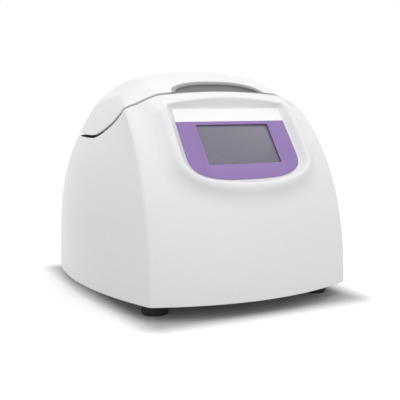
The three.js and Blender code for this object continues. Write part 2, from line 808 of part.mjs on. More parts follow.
const rotorSeat = shoulderTop + fit;
function rotorHead() {
  const body = at(turned([
    [spindleRadius + fit, rotorSeat], [rotorHubRadius, rotorSeat], [rotorHubRadius, rotorBottomRise],
    [rotorRadius, rotorBottomRise], [rotorRadius, rotorShoulderRise], [rotorTopRadius, rotorTopRise],
    [rotorDishRadius, rotorTopRise], [rotorHubRadius, rotorHubRise], [spindleRadius + fit, rotorHubRise],
    [spindleRadius + fit, rotorSeat],
  ], roundFine), 0, chamberBack, 0);
  const bores = Array.from({ length: tubeCount }, (_, i) => slanted(
    rod(sleeveRadius + fit, sleeveLength + overrun + bowlFloorRise, roundMedium)
      .translate(0, 0, -sleeveLength - bowlFloorRise), i));
  return cut(body, ...bores);
}
add('rotor_head', rotorHead(), looks.rotor);

for (let i = 0; i < tubeCount; i += 1) {
  const sleeve = turned([
    [0, -sleeveLength], [sleeveRadius - sleeveWall, -sleeveLength],
    [sleeveRadius, -sleeveLength + sleeveRadius], [sleeveRadius, -sleeveRimThickness],
    [sleeveRadius + sleeveRim, -sleeveRimThickness], [sleeveRadius + sleeveRim, 0],
    [sleeveRadius - sleeveWall, 0], [sleeveRadius - sleeveWall, -sleeveLength + sleeveRadius],
    [0, -sleeveLength + 2 * sleeveWall],
  ], roundSmall);
  add(`tube_sleeve_${i + 1}`, slanted(sleeve, i), looks.sleeve);
}

add('rotor_nut', at(turned([
  [spindleTipRadius + fit, fit], [nutRadius, fit], [nutRadius, nutHeight], [0, nutHeight],
  [0, nutHeight - nutCapThickness], [spindleTipRadius + fit, nutHeight - nutCapThickness],
  [spindleTipRadius + fit, fit],
]), 0, chamberBack, rotorHubRise), looks.blackPlastic);

// Lid
function gripSpace(inset, footRise, topRise) {
  const half = gripHalfWidth - inset;
  const depth = gripDepth - inset;
  const steps = 14;
  const ring = (rise) => {
    const points = [new THREE.Vector3(half, -overrun * 2, 0), new THREE.Vector3(-half, -overrun * 2, 0)];
    for (let i = 0; i <= steps; i += 1) {
      const angle = Math.PI * i / steps;
      const c = Math.cos(angle);
      points.push(new THREE.Vector3(-half * Math.sign(c) * Math.abs(c) ** (2 / gripPower),
        depth * Math.sin(angle) ** (2 / gripPower), 0));
    }
    return points.map((point) => point.add(new THREE.Vector3(
      0, seamRimBack + frontCornerY, rise + footHeight)));
  };
  return loft([ring(footRise), ring(topRise)]);
}

const lidOuter = common(outerSpace, lidSpace(seamGap));
function lidShell() {
  const inside = skinSpace(wall);
  const bosses = sides.flatMap(([, sign]) => [lidBossFrontBack, lidBossRearBack].map((back) => common(outerSpace,
    at(rod(lidBossRadius, bodyDepth, roundSmall), sign * lidBossX, back, linerTopRise + fit))));
  return cut(join(cut(lidOuter, inside), ...bosses), gripSpace(-fit, gripFloorRise - wall, bodyDepth));
}
add('lid_shell', lidShell(), looks.shell);

const gripTop = bodyDepth;
function gripInsert() {
  const solid = common(lidOuter, gripSpace(0, gripFloorRise, gripTop));
  const floorTop = gripFloorRise + wall + gripWall;
  const mouth = gripSpace(gripLip + gripWall, floorTop, gripTop);
  return cut(solid, mouth);
}
add('grip_insert', gripInsert(), looks.grip);

function lidLiner() {
  const sheet = sideProfile([
    [linerFrontBack, linerFrontRise], [linerFootBack, linerRise], [linerRearBack, linerRise],
    [linerRearBack, linerTopRise], [linerFootBack + linerThickness, linerTopRise],
    [linerFrontBack + linerThickness, linerFrontRise],
  ], 2 * linerHalfWidth);
  return common(sheet, skinSpace(wall + fit));
}
add('lid_liner', lidLiner(), looks.liner);

// Lid locks: strike plates under the liner, lock bodies under the deck, bolts that slide in from outside
const windowRise = linerRise - strikeWindowDrop;
for (const [side, sign] of sides) {
  const strike = cut(block(strikeThickness, strikeWidth, strikeDrop),
    alongX(rod(strikeWindow, 4 * strikeThickness, roundSmall))
      .translate(-2 * strikeThickness, 0, strikeDrop - strikeWindowDrop));
  add(`lock_strike_${side}`, at(strike, sign * lockX, lockBack, linerRise - fit - strikeDrop), looks.steel);

  const lockTop = deckUnderRise - fit;
  const bodyX = sign * (lockX + lockWidth / 2 - lockInset);
  const body = at(block(lockWidth, lockDepth, lockHeight), bodyX, lockBack, lockTop - lockHeight);
  const slot = at(block(strikeThickness + 2 * strikeSlotGap, strikeWidth + 2 * strikeSlotGap, lockHeight),
    sign * lockX, lockBack, linerRise - strikeDrop - strikeSlotGap);
  const channel = at(alongX(rod(boltRadius + fit, lockWidth, roundSmall)).translate(-lockWidth / 2, 0, 0),
    sign * (lockX + lockWidth / 2 - lockInset / 2), lockBack, windowRise);
  add(`lid_lock_${side}`, cut(body, slot, channel), looks.blackPlastic);
  add(`lock_bolt_${side}`, at(alongX(rod(boltRadius, boltLength, roundSmall)).translate(-boltLength / 2, 0, 0),
    sign * (lockX + strikeThickness / 2 + boltRest + boltLength / 2), lockBack, windowRise), looks.steel);
}

// Hinges: an axis just clear of the rear wall, along its outward normal at the seam
const hingeInner = hingeX - hingeWidth / 2;
const rearPoint = (x, rise) => skinPoint(
  new THREE.Vector3(x, skinCentreBack + frontCornerY, rise + footHeight), new THREE.Vector3(0, 1, 0), 0);
const seamPoint = rearPoint(hingeInner, seamSideRise);
const belowSeam = rearPoint(hingeInner, seamSideRise - hingeLeafLength / 2);
const alongWall = seamPoint.clone().sub(belowSeam).normalize();
const outOfWall = new THREE.Vector3(0, alongWall.z, -alongWall.y);
const hingeAxis = seamPoint.clone().addScaledVector(outOfWall, hingeBarrelRadius + hingeStandOff);

// Extrudes [along, out] points, measured from the hinge axis, over a stretch of X
function hingeProfile(points, x0, x1) {
  const placed = points.map(([along, out]) => {
    const spot = hingeAxis.clone().addScaledVector(alongWall, along).addScaledVector(outOfWall, out);
    return [spot.y - frontCornerY, spot.z - footHeight];
  });
  return outward(sideProfile(placed, x1 - x0, (x0 + x1) / 2));
}

const barrelAt = (radius, x0, x1) => alongX(rod(radius, x1 - x0, roundMedium))
  .translate(x0, hingeAxis.y, hingeAxis.z);

// One leaf with its knuckles; direction +1 runs up the lid, -1 runs down the housing
function hingeLeaf(direction, centreX, knuckles) {
  const x0 = centreX - hingeWidth / 2;
  const reach = hingeBarrelRadius + hingeStandOff;
  const foot = direction * (hingeBarrelRadius + hingeRunning);
  const plate = hingeProfile([
    [foot, -reach - hingeBarrelRadius - overrun], [direction * hingeLeafLength, -reach - hingeBarrelRadius - overrun],
    [direction * hingeLeafLength, hingeLeafThickness - reach + fit], [foot, hingeLeafThickness - reach + fit],
  ], x0, x0 + hingeWidth);
  const arms = knuckles.flatMap(([from, to]) => [
    barrelAt(hingeBarrelRadius, x0 + from, x0 + to),
    hingeProfile([
      [0, -hingeBarrelRadius], [foot + direction * hingeBarrelRadius, -hingeBarrelRadius],
      [foot + direction * hingeBarrelRadius, hingeLeafThickness - reach + fit], [0, hingeBarrelRadius],
    ], x0 + from, x0 + to),
  ]);
  const bore = barrelAt(hingePinRadius + hingeRunning, x0 - overrun, x0 + hingeWidth + overrun);
  return cut(join(plate, ...arms), bore, grownSpace);
}

// A torsion spring on the pin: straight legs at both ends of one unbroken wire
function springPath(centreX) {
  const radius = hingePinRadius + 2 * springWireRadius + hingeRunning;
  const start = centreX - hingeWidth / 2 + knuckleWidth + springWireRadius + 2 * fit;
  const points = [];
  const total = springCurls * stepsPerCurl;
  for (let i = 0; i <= total; i += 1) {
    const angle = 2 * Math.PI * i / stepsPerCurl;
    points.push(new THREE.Vector3(start + springPitch * i / stepsPerCurl, 0, 0)
      .addScaledVector(alongWall, radius * Math.sin(angle))
      .addScaledVector(outOfWall, radius * Math.cos(angle)));
  }
  const downLeg = points[0].clone().addScaledVector(alongWall, -springLegLength);
  const upLeg = points[total].clone().addScaledVector(alongWall, springLegLength);
  return [downLeg, ...points, upLeg].map((point) => point.add(new THREE.Vector3(0, hingeAxis.y, hingeAxis.z)));
}

// The least gap between one curl of a wound wire and the next, measured along its path
function leastGap(path, radius, apart) {
  let least = Infinity;
  path.forEach((point, i) => path.slice(i + apart).forEach((other) => {
    least = Math.min(least, point.distanceTo(other) - 2 * radius);
  }));
  return least;
}

function wire(path, radius, flats) {
  const rings = path.map((point, i) => {
    const before = path[Math.max(i - 1, 0)];
    const after = path[Math.min(i + 1, path.length - 1)];
    const forward = after.clone().sub(before).normalize();
    const across = new THREE.Vector3(1, 0, 0).addScaledVector(forward, -forward.x).normalize();
    const up = forward.clone().cross(across);
    return Array.from({ length: flats }, (_, k) => {
      const angle = 2 * Math.PI * k / flats;
      return point.clone().addScaledVector(across, radius * Math.cos(angle))
        .addScaledVector(up, radius * Math.sin(angle));
    });
  });
  return loft(rings);
}

for (const [side, sign] of sides) {
  const centreX = sign * hingeX;
  const lastKnuckle = hingeWidth - knuckleWidth;
  const lidKnuckle = lastKnuckle - fit - knuckleWidth;
  add(`hinge_leaf_housing_${side}`, hingeLeaf(-1, centreX, [[0, knuckleWidth], [lastKnuckle, hingeWidth]]),
    looks.shell);
  add(`hinge_leaf_lid_${side}`, hingeLeaf(1, centreX, [[lidKnuckle, lastKnuckle - fit]]), looks.shell);
  add(`hinge_pin_${side}`, barrelAt(hingePinRadius, centreX - hingeWidth / 2, centreX + hingeWidth / 2), looks.steel);
  const path = springPath(centreX);
  console.log(`hinge_spring_${side}: least gap ${leastGap(path, springWireRadius, stepsPerCurl / 2).toFixed(2)} mm`);
  add(`hinge_spring_${side}`, wire(path, springWireRadius, 5), looks.steel);
}

// Power supply and motor drive board on the pan
add('power_supply', at(block(supplyWidth, supplyDepth, supplyHeight), -supplyX, supplyBack, panTopRise + fit),
  looks.zinc);
function driveBoard() {
  const boardFoot = panTopRise + fit + driveBoardRise;
  const board = at(block(driveBoardWidth, driveBoardDepth, boardThickness), supplyX, supplyBack, boardFoot);
  const sink = at(block(heatSinkWidth, driveBoardDepth * heatSinkLengthShare, heatSinkHeight), supplyX, supplyBack,
    boardFoot + boardThickness / 2);
  const inset = 2 * driveSpacerRadius;
  const spacers = [-1, 1].flatMap((i) => [-1, 1].map((j) => at(
    rod(driveSpacerRadius, driveBoardRise + boardThickness / 2, roundSmall),
    supplyX + i * (driveBoardWidth / 2 - inset), supplyBack + j * (driveBoardDepth / 2 - inset), panTopRise + fit)));
  return join(board, sink, ...spacers);
}
add('drive_board', driveBoard(), looks.board);

// Mains inlet with its three pins
const floorOut = pocketFloorBack + fit;
function powerInlet() {
  const flange = at(block(inletWidth + 2 * inletFlange, inletFlangeThickness, inletHeight + 2 * inletFlange),
    inletX, floorOut + inletFlangeThickness / 2, inletRise - inletHeight / 2 - inletFlange);
  const body = at(block(inletWidth, inletBodyDepth, inletHeight), inletX, floorOut - inletBodyDepth / 2 + fit,
    inletRise - inletHeight / 2);
  const socket = at(block(inletSocketWidth, 2 * inletSocketDepth, inletSocketHeight), inletX,
    floorOut + inletFlangeThickness, inletRise - inletSocketHeight / 2);
  const pins = [-1, 0, 1].map((i) => at(block(inletPinWidth, inletPinLength + fit, inletPinHeight),
    inletX + i * inletPinSpacing, floorOut + inletFlangeThickness - inletSocketDepth + inletPinLength / 2,
    inletRise - inletPinHeight / 2));
  return join(cut(join(flange, body), socket), ...pins);
}
add('power_inlet', powerInlet(), looks.blackPlastic);

// Fuse drawer that slides out of its frame
const fuseInner = fuseWidth - 2 * fuseFrameWall;
const fuseInnerHeight = fuseHeight - 2 * fuseFrameWall;
function fuseFrame() {
  const body = at(block(fuseWidth, fuseLength + wall, fuseHeight), inletX,
    floorOut - (fuseLength + wall) / 2, fuseRise - fuseHeight / 2);
  const hollow = at(block(fuseInner, fuseLength, fuseInnerHeight), inletX,
    floorOut - fuseLength / 2 + fit, fuseRise - fuseInnerHeight / 2);
  return cut(body, hollow);
}
add('fuse_holder', fuseFrame(), looks.blackPlastic);
function fuseDrawer() {
  const trayWidth = fuseInner - 2 * fit;
  const trayHeight = fuseInnerHeight - 2 * fit;
  const trayLength = fuseLength - 2 * fit;
  const face = at(block(fuseWidth + 2 * fuseFaceLap, fuseFaceThickness, fuseHeight + 2 * fuseFaceLap), inletX,
    floorOut + fit + fuseFaceThickness / 2, fuseRise - fuseHeight / 2 - fuseFaceLap);
  const tray = at(block(trayWidth, trayLength + fuseFaceThickness, trayHeight), inletX,
    floorOut + fit - (trayLength - fuseFaceThickness) / 2, fuseRise - trayHeight / 2);
  const hollow = at(block(trayWidth - 2 * fuseTrayWall, trayLength - 2 * fuseTrayWall, trayHeight), inletX,
    floorOut - trayLength / 2, fuseRise - trayHeight / 2 + fuseTrayWall);
  return cut(join(face, tray), hollow);
}
add('fuse_drawer', fuseDrawer(), looks.blackPlastic);
const fuseFoot = fuseRise - fuseInnerHeight / 2 + fit + fuseTrayWall + fit / 2;
add('fuse', at(alongY(turned([
  [0, 0], [fuseRadius, 0], [fuseRadius, fuseCapLength], [fuseGlassRadius, fuseCapLength],
  [fuseGlassRadius, fuseTubeLength - fuseCapLength], [fuseRadius, fuseTubeLength - fuseCapLength],
  [fuseRadius, fuseTubeLength], [0, fuseTubeLength],
], roundSmall)), inletX, floorOut - (fuseLength + fuseTubeLength) / 2, fuseFoot + fuseRadius), looks.steel);

// Power switch: a frame and a rocker that tilts on a pin along X
const rockerY = floorOut + rockerFrameThickness - rockerRadius * rockerTipShare;
function switchFrame() {
  const outerWidth = rockerWidth + 2 * rockerFrameLap;
  const outerHeight = rockerHeight + 2 * rockerFrameLap;
  const flange = at(block(outerWidth + rockerFrameLap, rockerFrameThickness, outerHeight + rockerFrameLap),
    rockerX, floorOut + rockerFrameThickness / 2, rockerRise - (outerHeight + rockerFrameLap) / 2);
  const bodyWidth = rockerWidth + rockerFrameLap;
  const body = at(block(bodyWidth, rockerBodyDepth, rockerHeight + rockerFrameLap), rockerX,
    floorOut - rockerBodyDepth / 2 + fit, rockerRise - (rockerHeight + rockerFrameLap) / 2);
  const well = at(block(rockerWidth, 2 * rockerBodyDepth, rockerHeight), rockerX,
    floorOut + rockerFrameThickness + rockerFrameThickness, rockerRise - rockerHeight / 2);
  return cut(join(flange, body), well);
}
add('switch_frame', switchFrame(), looks.blackPlastic);
function rocker() {
  const half = rockerHeight / 2 - 4 * rockerGap;
  const shape = [[-half, rockerRadius * rockerTipShare], [0, rockerRadius * rockerDipShare], [half, rockerRadius * rockerTipShare],
    [half * rockerFootShare, -rockerPinRadius], [-half * rockerFootShare, -rockerPinRadius]];
  const turned90 = shape.map(([up, out]) => [
    rockerY + out * Math.cos(rockerTilt) - up * Math.sin(rockerTilt),
    rockerRise + up * Math.cos(rockerTilt) + out * Math.sin(rockerTilt)]);
  return outward(sideProfile(turned90, rockerWidth - 2 * rockerGap, rockerX));
}
add('power_rocker', rocker(), looks.blackPlastic);

// Cooling fan behind the pocket's floor, with a guard outside it
const fanBack = pocketFloorBack - wall - fit - fanDepth / 2;
function fanFrame() {
  const frame = at(block(fanSize, fanDepth, fanSize), fanX, fanBack, fanRise - fanSize / 2);
  const bore = at(alongY(rod(fanBore, 2 * fanDepth, roundMedium)), fanX, fanBack - fanDepth, fanRise);
  const rearFace = fanBack - fanDepth / 2;
  const struts = [0, 1].map((i) => {
    const bar = new THREE.BoxGeometry(fanSize - 2 * fanStrutInset, fanStrutThickness, fanStrutWidth).rotateY(i * Math.PI / 2);
    return at(bar, fanX, rearFace + fanStrutThickness / 2, fanRise);
  });
  const axle = at(alongY(rod(fanAxleRadius, fanDepth * fanAxleShare, roundSmall)), fanX, rearFace, fanRise);
  return join(cut(frame, bore), ...struts, axle);
}
add('fan_frame', fanFrame(), looks.blackPlastic);
function fanImpeller() {
  const foot = fanBack - fanDepth / 2 + fanStrutThickness + 2 * fit;
  const depth = fanDepth - fanStrutThickness - 4 * fit;
  const hub = at(alongY(rod(fanHubRadius, depth, roundMedium)), fanX, foot, fanRise);
  const bladeLength = fanBore - fanTipGap - fanHubRadius / 2;
  const blades = Array.from({ length: fanBladeCount }, (_, i) => {
    const blade = new THREE.BoxGeometry(fanBladeThickness, fanBladeWidth, bladeLength)
      .rotateZ(fanBladePitch).translate(0, 0, fanHubRadius / 2 + bladeLength / 2)
      .rotateY(2 * Math.PI * i / fanBladeCount);
    return at(blade, fanX, foot + depth / 2, fanRise);
  });
  const bore = at(alongY(rod(fanAxleRadius + fit, fanDepth, roundSmall)), fanX,
    fanBack - fanDepth / 2 - fanDepth * (1 - fanAxleShare) + fit, fanRise);
  return cut(join(hub, ...blades), bore);
}
add('fan_impeller', fanImpeller(), looks.blackPlastic);
function fanGuard() {
  const step = (fanBore - guardBar) / guardRings;
  const rings = Array.from({ length: guardRings }, (_, i) => at(alongY(tube(
    step * (i + 1) + guardBar, step * (i + 1), guardThickness, roundMedium)), fanX, floorOut, fanRise));
  const bars = [0, 1].map((i) => at(new THREE.BoxGeometry(2 * fanBore, guardThickness, guardBar)
    .rotateY(i * Math.PI / 2), fanX, floorOut + guardThickness / 2, fanRise));
  return join(...rings, ...bars);
}
add('fan_guard', fanGuard(), looks.steel);

export default part;
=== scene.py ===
# Low-speed bench centrifuge, dressed over its CAD frame.
import json
import math
import bpy
import numpy as np
from mathutils import Matrix, Vector


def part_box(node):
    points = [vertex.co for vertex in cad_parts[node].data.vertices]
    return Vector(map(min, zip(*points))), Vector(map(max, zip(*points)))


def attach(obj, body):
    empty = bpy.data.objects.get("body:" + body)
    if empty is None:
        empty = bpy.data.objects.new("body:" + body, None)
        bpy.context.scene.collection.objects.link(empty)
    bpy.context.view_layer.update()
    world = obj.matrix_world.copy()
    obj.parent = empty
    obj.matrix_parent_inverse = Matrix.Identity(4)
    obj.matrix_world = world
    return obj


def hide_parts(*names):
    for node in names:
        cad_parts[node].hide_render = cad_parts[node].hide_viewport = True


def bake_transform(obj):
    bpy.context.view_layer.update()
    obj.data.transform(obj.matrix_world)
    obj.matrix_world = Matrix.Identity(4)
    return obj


mm = 0.001
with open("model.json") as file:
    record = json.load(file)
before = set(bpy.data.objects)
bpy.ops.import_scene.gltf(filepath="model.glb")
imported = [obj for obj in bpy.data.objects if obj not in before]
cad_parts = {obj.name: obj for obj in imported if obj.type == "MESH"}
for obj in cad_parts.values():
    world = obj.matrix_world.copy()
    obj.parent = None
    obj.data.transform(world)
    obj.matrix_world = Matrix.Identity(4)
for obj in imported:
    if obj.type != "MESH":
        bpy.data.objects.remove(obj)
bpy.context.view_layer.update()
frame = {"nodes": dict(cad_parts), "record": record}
scene = bpy.context.scene
bodyOf = {node: body for body, nodes in frame["record"]["behaviour"]["bodies"].items() for node in nodes}
ops = bpy.ops.mesh

# Places are in millimetres: x, back from the front corners, rise above the housing's lower edge.
place = {"frontCornerY": -149.5, "footHeight": 16.0, "chamberBack": 188.5}


def spot(x, back, rise):
    return [x, back + place["frontCornerY"], rise + place["footHeight"]]


def onSpindle(rise=0.0):
    return spot(0, place["chamberBack"], rise)


def toWorld(x, back, rise):
    return np.stack(np.broadcast_arrays(*spot(x, back, rise)), -1) * mm


def moveTo(point):
    return Matrix.Translation([c * mm for c in point])


# Small helpers for modelling
def deselectAll():
    if bpy.context.object and bpy.context.object.mode != "OBJECT":
        bpy.ops.object.mode_set(mode="OBJECT")
    bpy.ops.object.select_all(action="DESELECT")


def makeActive(obj):
    deselectAll()
    obj.select_set(True)
    bpy.context.view_layer.objects.active = obj


def addObject(name, mesh):
    obj = bpy.data.objects.new(name, mesh)
    bpy.context.collection.objects.link(obj)
    makeActive(obj)
    return obj


def newMesh(name, points, edges, faces):
    mesh = bpy.data.meshes.new(name)
    mesh.from_pydata([tuple(p) for p in points], edges, faces)
    mesh.update()
    return addObject(name, mesh)


def applyModifier(obj, kind, **settings):
    makeActive(obj)
    modifier = obj.modifiers.new(kind.title(), kind)
    for key, value in settings.items():
        setattr(modifier, key, value)
    bpy.ops.object.modifier_apply(modifier=modifier.name)


# Runs mesh operators in edit mode, each with its settings, on everything or from nothing selected
def editMesh(obj, *steps, select="SELECT"):
    makeActive(obj)
    bpy.ops.object.mode_set(mode="EDIT")
    ops.select_all(action=select)
    for step, settings in steps:
        step(**settings)
    bpy.ops.object.mode_set(mode="OBJECT")


def faceOutside(obj):
    editMesh(obj, (ops.remove_doubles, {"threshold": 0.01 * mm}), (ops.normals_make_consistent, {"inside": False}))


def closeHole(obj):
    editMesh(obj, (ops.select_non_manifold, {}), (ops.edge_face_add, {}), select="DESELECT")
    faceOutside(obj)


def bevelEdges(obj, width, segments=2, angle=35):
    applyModifier(obj, "BEVEL", width=width * mm, segments=segments, limit_method="ANGLE",
                  angle_limit=math.radians(angle), use_clamp_overlap=True, harden_normals=False)


# Bevels only the edges that choose(a, b) picks by their two ends
def bevelChosen(obj, choose, width, segments):
    editMesh(obj, (ops.select_mode, {"type": "EDGE"}), (ops.select_all, {"action": "DESELECT"}))
    for edge in obj.data.edges:
        edge.select = choose(*(obj.data.vertices[i].co for i in edge.vertices))
    bpy.ops.object.mode_set(mode="EDIT")
    ops.bevel(offset=width * mm, segments=segments)
    bpy.ops.object.mode_set(mode="OBJECT")


def shadeByAngle(obj, angle=40):
    makeActive(obj)
    bpy.ops.object.shade_smooth_by_angle(angle=math.radians(angle))


def settle(obj):
    makeActive(obj)
    bpy.ops.object.transform_apply(location=True, rotation=True, scale=True)
    return obj


def combine(obj, operation, others):
    for other in others:
        applyModifier(obj, "BOOLEAN", operation=operation, object=other, solver="EXACT")
        bpy.data.objects.remove(other)


def cutAway(obj, *tools):
    combine(obj, "DIFFERENCE", tools)


def joinSolids(obj, *others):
    combine(obj, "UNION", others)


# Puts separate solids into one object, which keeps the first one's name
def gather(pieces):
    makeActive(pieces[0])
    for piece in pieces[1:]:
        piece.select_set(True)
    bpy.ops.object.join()
    return pieces[0]


def addBox(name, size, centre):
    deselectAll()
    ops.primitive_cube_add(size=1, location=[c * mm for c in centre])
    obj = bpy.context.object
    obj.name = name
    obj.scale = [s * mm for s in size]
    return settle(obj)


def addRod(name, radius, length, centre, axis="Z", sides=48):
    deselectAll()
    turn = {"X": (0, math.pi / 2, 0), "Y": (math.pi / 2, 0, 0), "Z": (0, 0, 0)}[axis]
    ops.primitive_cylinder_add(vertices=sides, radius=radius * mm, depth=length * mm,
                               location=[c * mm for c in centre], rotation=turn)
    obj = bpy.context.object
    obj.name = name
    return settle(obj)


# A (radius, height) outline spun round the Z axis, then stood at centre
def spinOutline(name, outline, centre, steps=96, closed=False):
    count = len(outline)
    edges = [(i, i + 1) for i in range(count - 1)] + ([(count - 1, 0)] if closed else [])
    obj = newMesh(name, [(r * mm, 0, h * mm) for r, h in outline], edges, [])
    editMesh(obj, (ops.spin, {"steps": steps, "angle": 2 * math.pi, "center": (0, 0, 0), "axis": (0, 0, 1)}))
    faceOutside(obj)
    obj.location = [c * mm for c in centre]
    return settle(obj)


# Faces from ring to ring: wrap joins the last ring to the first, caps fill the two ends
def loftRings(name, rings, caps=True, wrap=False):
    count, total = len(rings[0]), len(rings)
    faces = []
    for k in range(total if wrap else total - 1):
        near, far = k * count, (k + 1) % total * count
        for i in range(count):
            j = (i + 1) % count
            faces.append((near + i, near + j, far + j, far + i))
    if caps:
        faces += [tuple(range(count))[::-1], tuple(range((total - 1) * count, total * count))]
    obj = newMesh(name, np.concatenate([np.asarray(ring) for ring in rings]), [], faces)
    if caps:
        faceOutside(obj)
    return obj


# The same for rings of (x, back, rise), left open at both ends
def sheetMesh(name, rings, wrap=True):
    return loftRings(name, [toWorld(*np.asarray(ring).T) for ring in rings], caps=False, wrap=wrap)


# A copy of a CAD node's mesh with its flat faces merged and its edges eased
def easedCopy(node, bevel=0.3, angle=30, segments=2):
    first, *rest = node.split("_")
    obj = addObject(first + "".join(part.title() for part in rest), frame["nodes"][node].data.copy())
    faceOutside(obj)
    editMesh(obj, (ops.dissolve_limited, {"angle_limit": math.radians(1.5)}))
    if bevel:
        bevelEdges(obj, bevel, segments, angle)
    shadeByAngle(obj)
    return obj


# Rounds the corners of an outline of (radius, height) points
def roundOutline(points, radius, steps=5):
    points = [Vector(p) for p in points]
    rounded = [points[0]]
    for before, corner, after in zip(points, points[1:], points[2:]):
        reach = min(radius, (before - corner).length * 0.45, (after - corner).length * 0.45)
        first = corner + (before - corner).normalized() * reach
        last = corner + (after - corner).normalized() * reach
        for i in range(steps + 1):
            t = i / steps
            rounded.append((1 - t) ** 2 * first + 2 * t * (1 - t) * corner + t ** 2 * last)
    return [tuple(p) for p in rounded + [points[-1]]]


# Gives a piece its finish and the body it rides on, and hides the CAD nodes it stands for
def finishPiece(obj, body, slotName, replaced=(), finish=None, shade=None):
    if shade:
        shadeByAngle(obj, shade)
    obj.data.materials.clear()
    obj.data.materials.append(finishes[finish or slotName])
    if body:
        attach(obj, body)
    if replaced:
        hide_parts(*replaced)


def carry(obj, node, slotName, finish=None, shade=None):
    finishPiece(obj, bodyOf[node], slotName, [node], finish, shade)


def addDetail(obj, node, slotName, shade=None):
    finishPiece(obj, bodyOf[node], slotName, shade=shade)


def carryEased(nodes, slotName, bevel, angle=30, segments=2, finish=None):
    for node in nodes:
        carry(easedCopy(node, bevel, angle, segments), node, slotName, finish)


# Shader groups that several finishes share
# Adds a node: a feed that is a socket is linked, and any other is set
def addNode(tree, kind, feeds, operation=None, output=0):
    node = tree.nodes.new("ShaderNode" + kind)
    if operation:
        node.operation = operation
    for key, feed in feeds.items():
        if isinstance(feed, bpy.types.NodeSocket):
            tree.links.new(feed, node.inputs[key])
        else:
            node.inputs[key].default_value = feed
    return node.outputs[output]


def calculate(tree, operation, *feeds):
    return addNode(tree, "Math", dict(enumerate(feeds)), operation)


def newGroup(name, fill, inputs):
    group = bpy.data.node_groups.new(name, "ShaderNodeTree")
    for label, (kind, value) in inputs.items():
        socket = group.interface.new_socket(name=label, in_out="INPUT", socket_type="NodeSocket" + kind)
        socket.default_value = value
    for label, kind in (("Color", "Color"), ("Roughness", "Float"), ("Height", "Float")):
        group.interface.new_socket(name=label, in_out="OUTPUT", socket_type="NodeSocket" + kind)
    made = fill(group, group.nodes.new("NodeGroupInput").outputs)
    end = group.nodes.new("NodeGroupOutput")
    for label, socket in made.items():
        group.links.new(socket, end.inputs[label])
    return group


def tinted(group, color, shade):
    return addNode(group, "VectorMath", {0: color, "Scale": shade}, "SCALE")


grain = {"detail": 3, "mottleScale": 14, "mottleShade": 0.6}
lines = {"scale": 60, "detail": 5, "shade": 0.25, "darkest": 0.88, "roughness": 0.16}
relief = {"Strength": 0.35, "Distance": 0.0002}


def fillGrain(group, given):
    coords = addNode(group, "TexCoord", {}, output="Object")
    fine = addNode(group, "TexNoise", {"Vector": coords, "Scale": given["Grain Scale"], "Detail": grain["detail"]})
    broad = addNode(group, "TexNoise", {"Vector": coords, "Scale": grain["mottleScale"]})
    mottle = calculate(group, "MULTIPLY", calculate(group, "SUBTRACT", broad, 0.5), given["Mottle"])
    shade = calculate(group, "MULTIPLY_ADD", mottle, grain["mottleShade"], 1.0)
    return {"Color": tinted(group, given["Color"], shade),
            "Roughness": calculate(group, "ADD", given["Roughness"], mottle),
            "Height": calculate(group, "MULTIPLY", fine, given["Grain Depth"])}


def fillBrushed(group, given):
    coords = addNode(group, "TexCoord", {}, output="Object")
    stretched = addNode(group, "VectorMath", {0: coords, 1: given["Stretch"]}, "MULTIPLY")
    streaks = addNode(group, "TexNoise", {"Vector": stretched, "Scale": lines["scale"], "Detail": lines["detail"]})
    shade = calculate(group, "MULTIPLY_ADD", streaks, lines["shade"], lines["darkest"])
    return {"Color": tinted(group, given["Color"], shade),
            "Roughness": calculate(group, "MULTIPLY_ADD", streaks, lines["roughness"], given["Roughness"]),
            "Height": calculate(group, "MULTIPLY", streaks, given["Depth"])}


surfaceGrain = newGroup("surfaceGrain", fillGrain, {
    "Color": ("Color", (0.8, 0.8, 0.8, 1)), "Roughness": ("Float", 0.4), "Grain Scale": ("Float", 900.0),
    "Grain Depth": ("Float", 0.1), "Mottle": ("Float", 0.03)})
brushedLines = newGroup("brushedLines", fillBrushed, {
    "Color": ("Color", (0.6, 0.6, 0.6, 1)), "Roughness": ("Float", 0.3), "Stretch": ("Vector", (1.0, 1.0, 1.0)),
    "Depth": ("Float", 0.2)})


def startMaterial(name, group, values, plain):
    material = bpy.data.materials.new(name)
    material.use_nodes = True
    tree = material.node_tree
    shader = tree.nodes["Principled BSDF"]
    finish = tree.nodes.new("ShaderNodeGroup")
    finish.node_tree = group
    for key, value in values.items():
        finish.inputs[key].default_value = value
    tree.links.new(finish.outputs["Color"], shader.inputs["Base Color"])
    tree.links.new(finish.outputs["Roughness"], shader.inputs["Roughness"])
    tree.links.new(addNode(tree, "Bump", {**relief, "Height": finish.outputs["Height"]}), shader.inputs["Normal"])
    for key, value in plain.items():
        shader.inputs[key].default_value = value
    return material


def moulded(name, color, roughness, scale, depth, mottle=0.03, coat=0.0):
    return startMaterial(name, surfaceGrain, {
        "Color": (*color, 1), "Roughness": roughness, "Grain Scale": scale, "Grain Depth": depth,
        "Mottle": mottle}, {"Coat Weight": coat})


def brushed(name, color, roughness, stretch, depth=0.2):
    return startMaterial(name, brushedLines, {
        "Color": (*color, 1), "Roughness": roughness, "Stretch": stretch, "Depth": depth}, {"Metallic": 1.0})


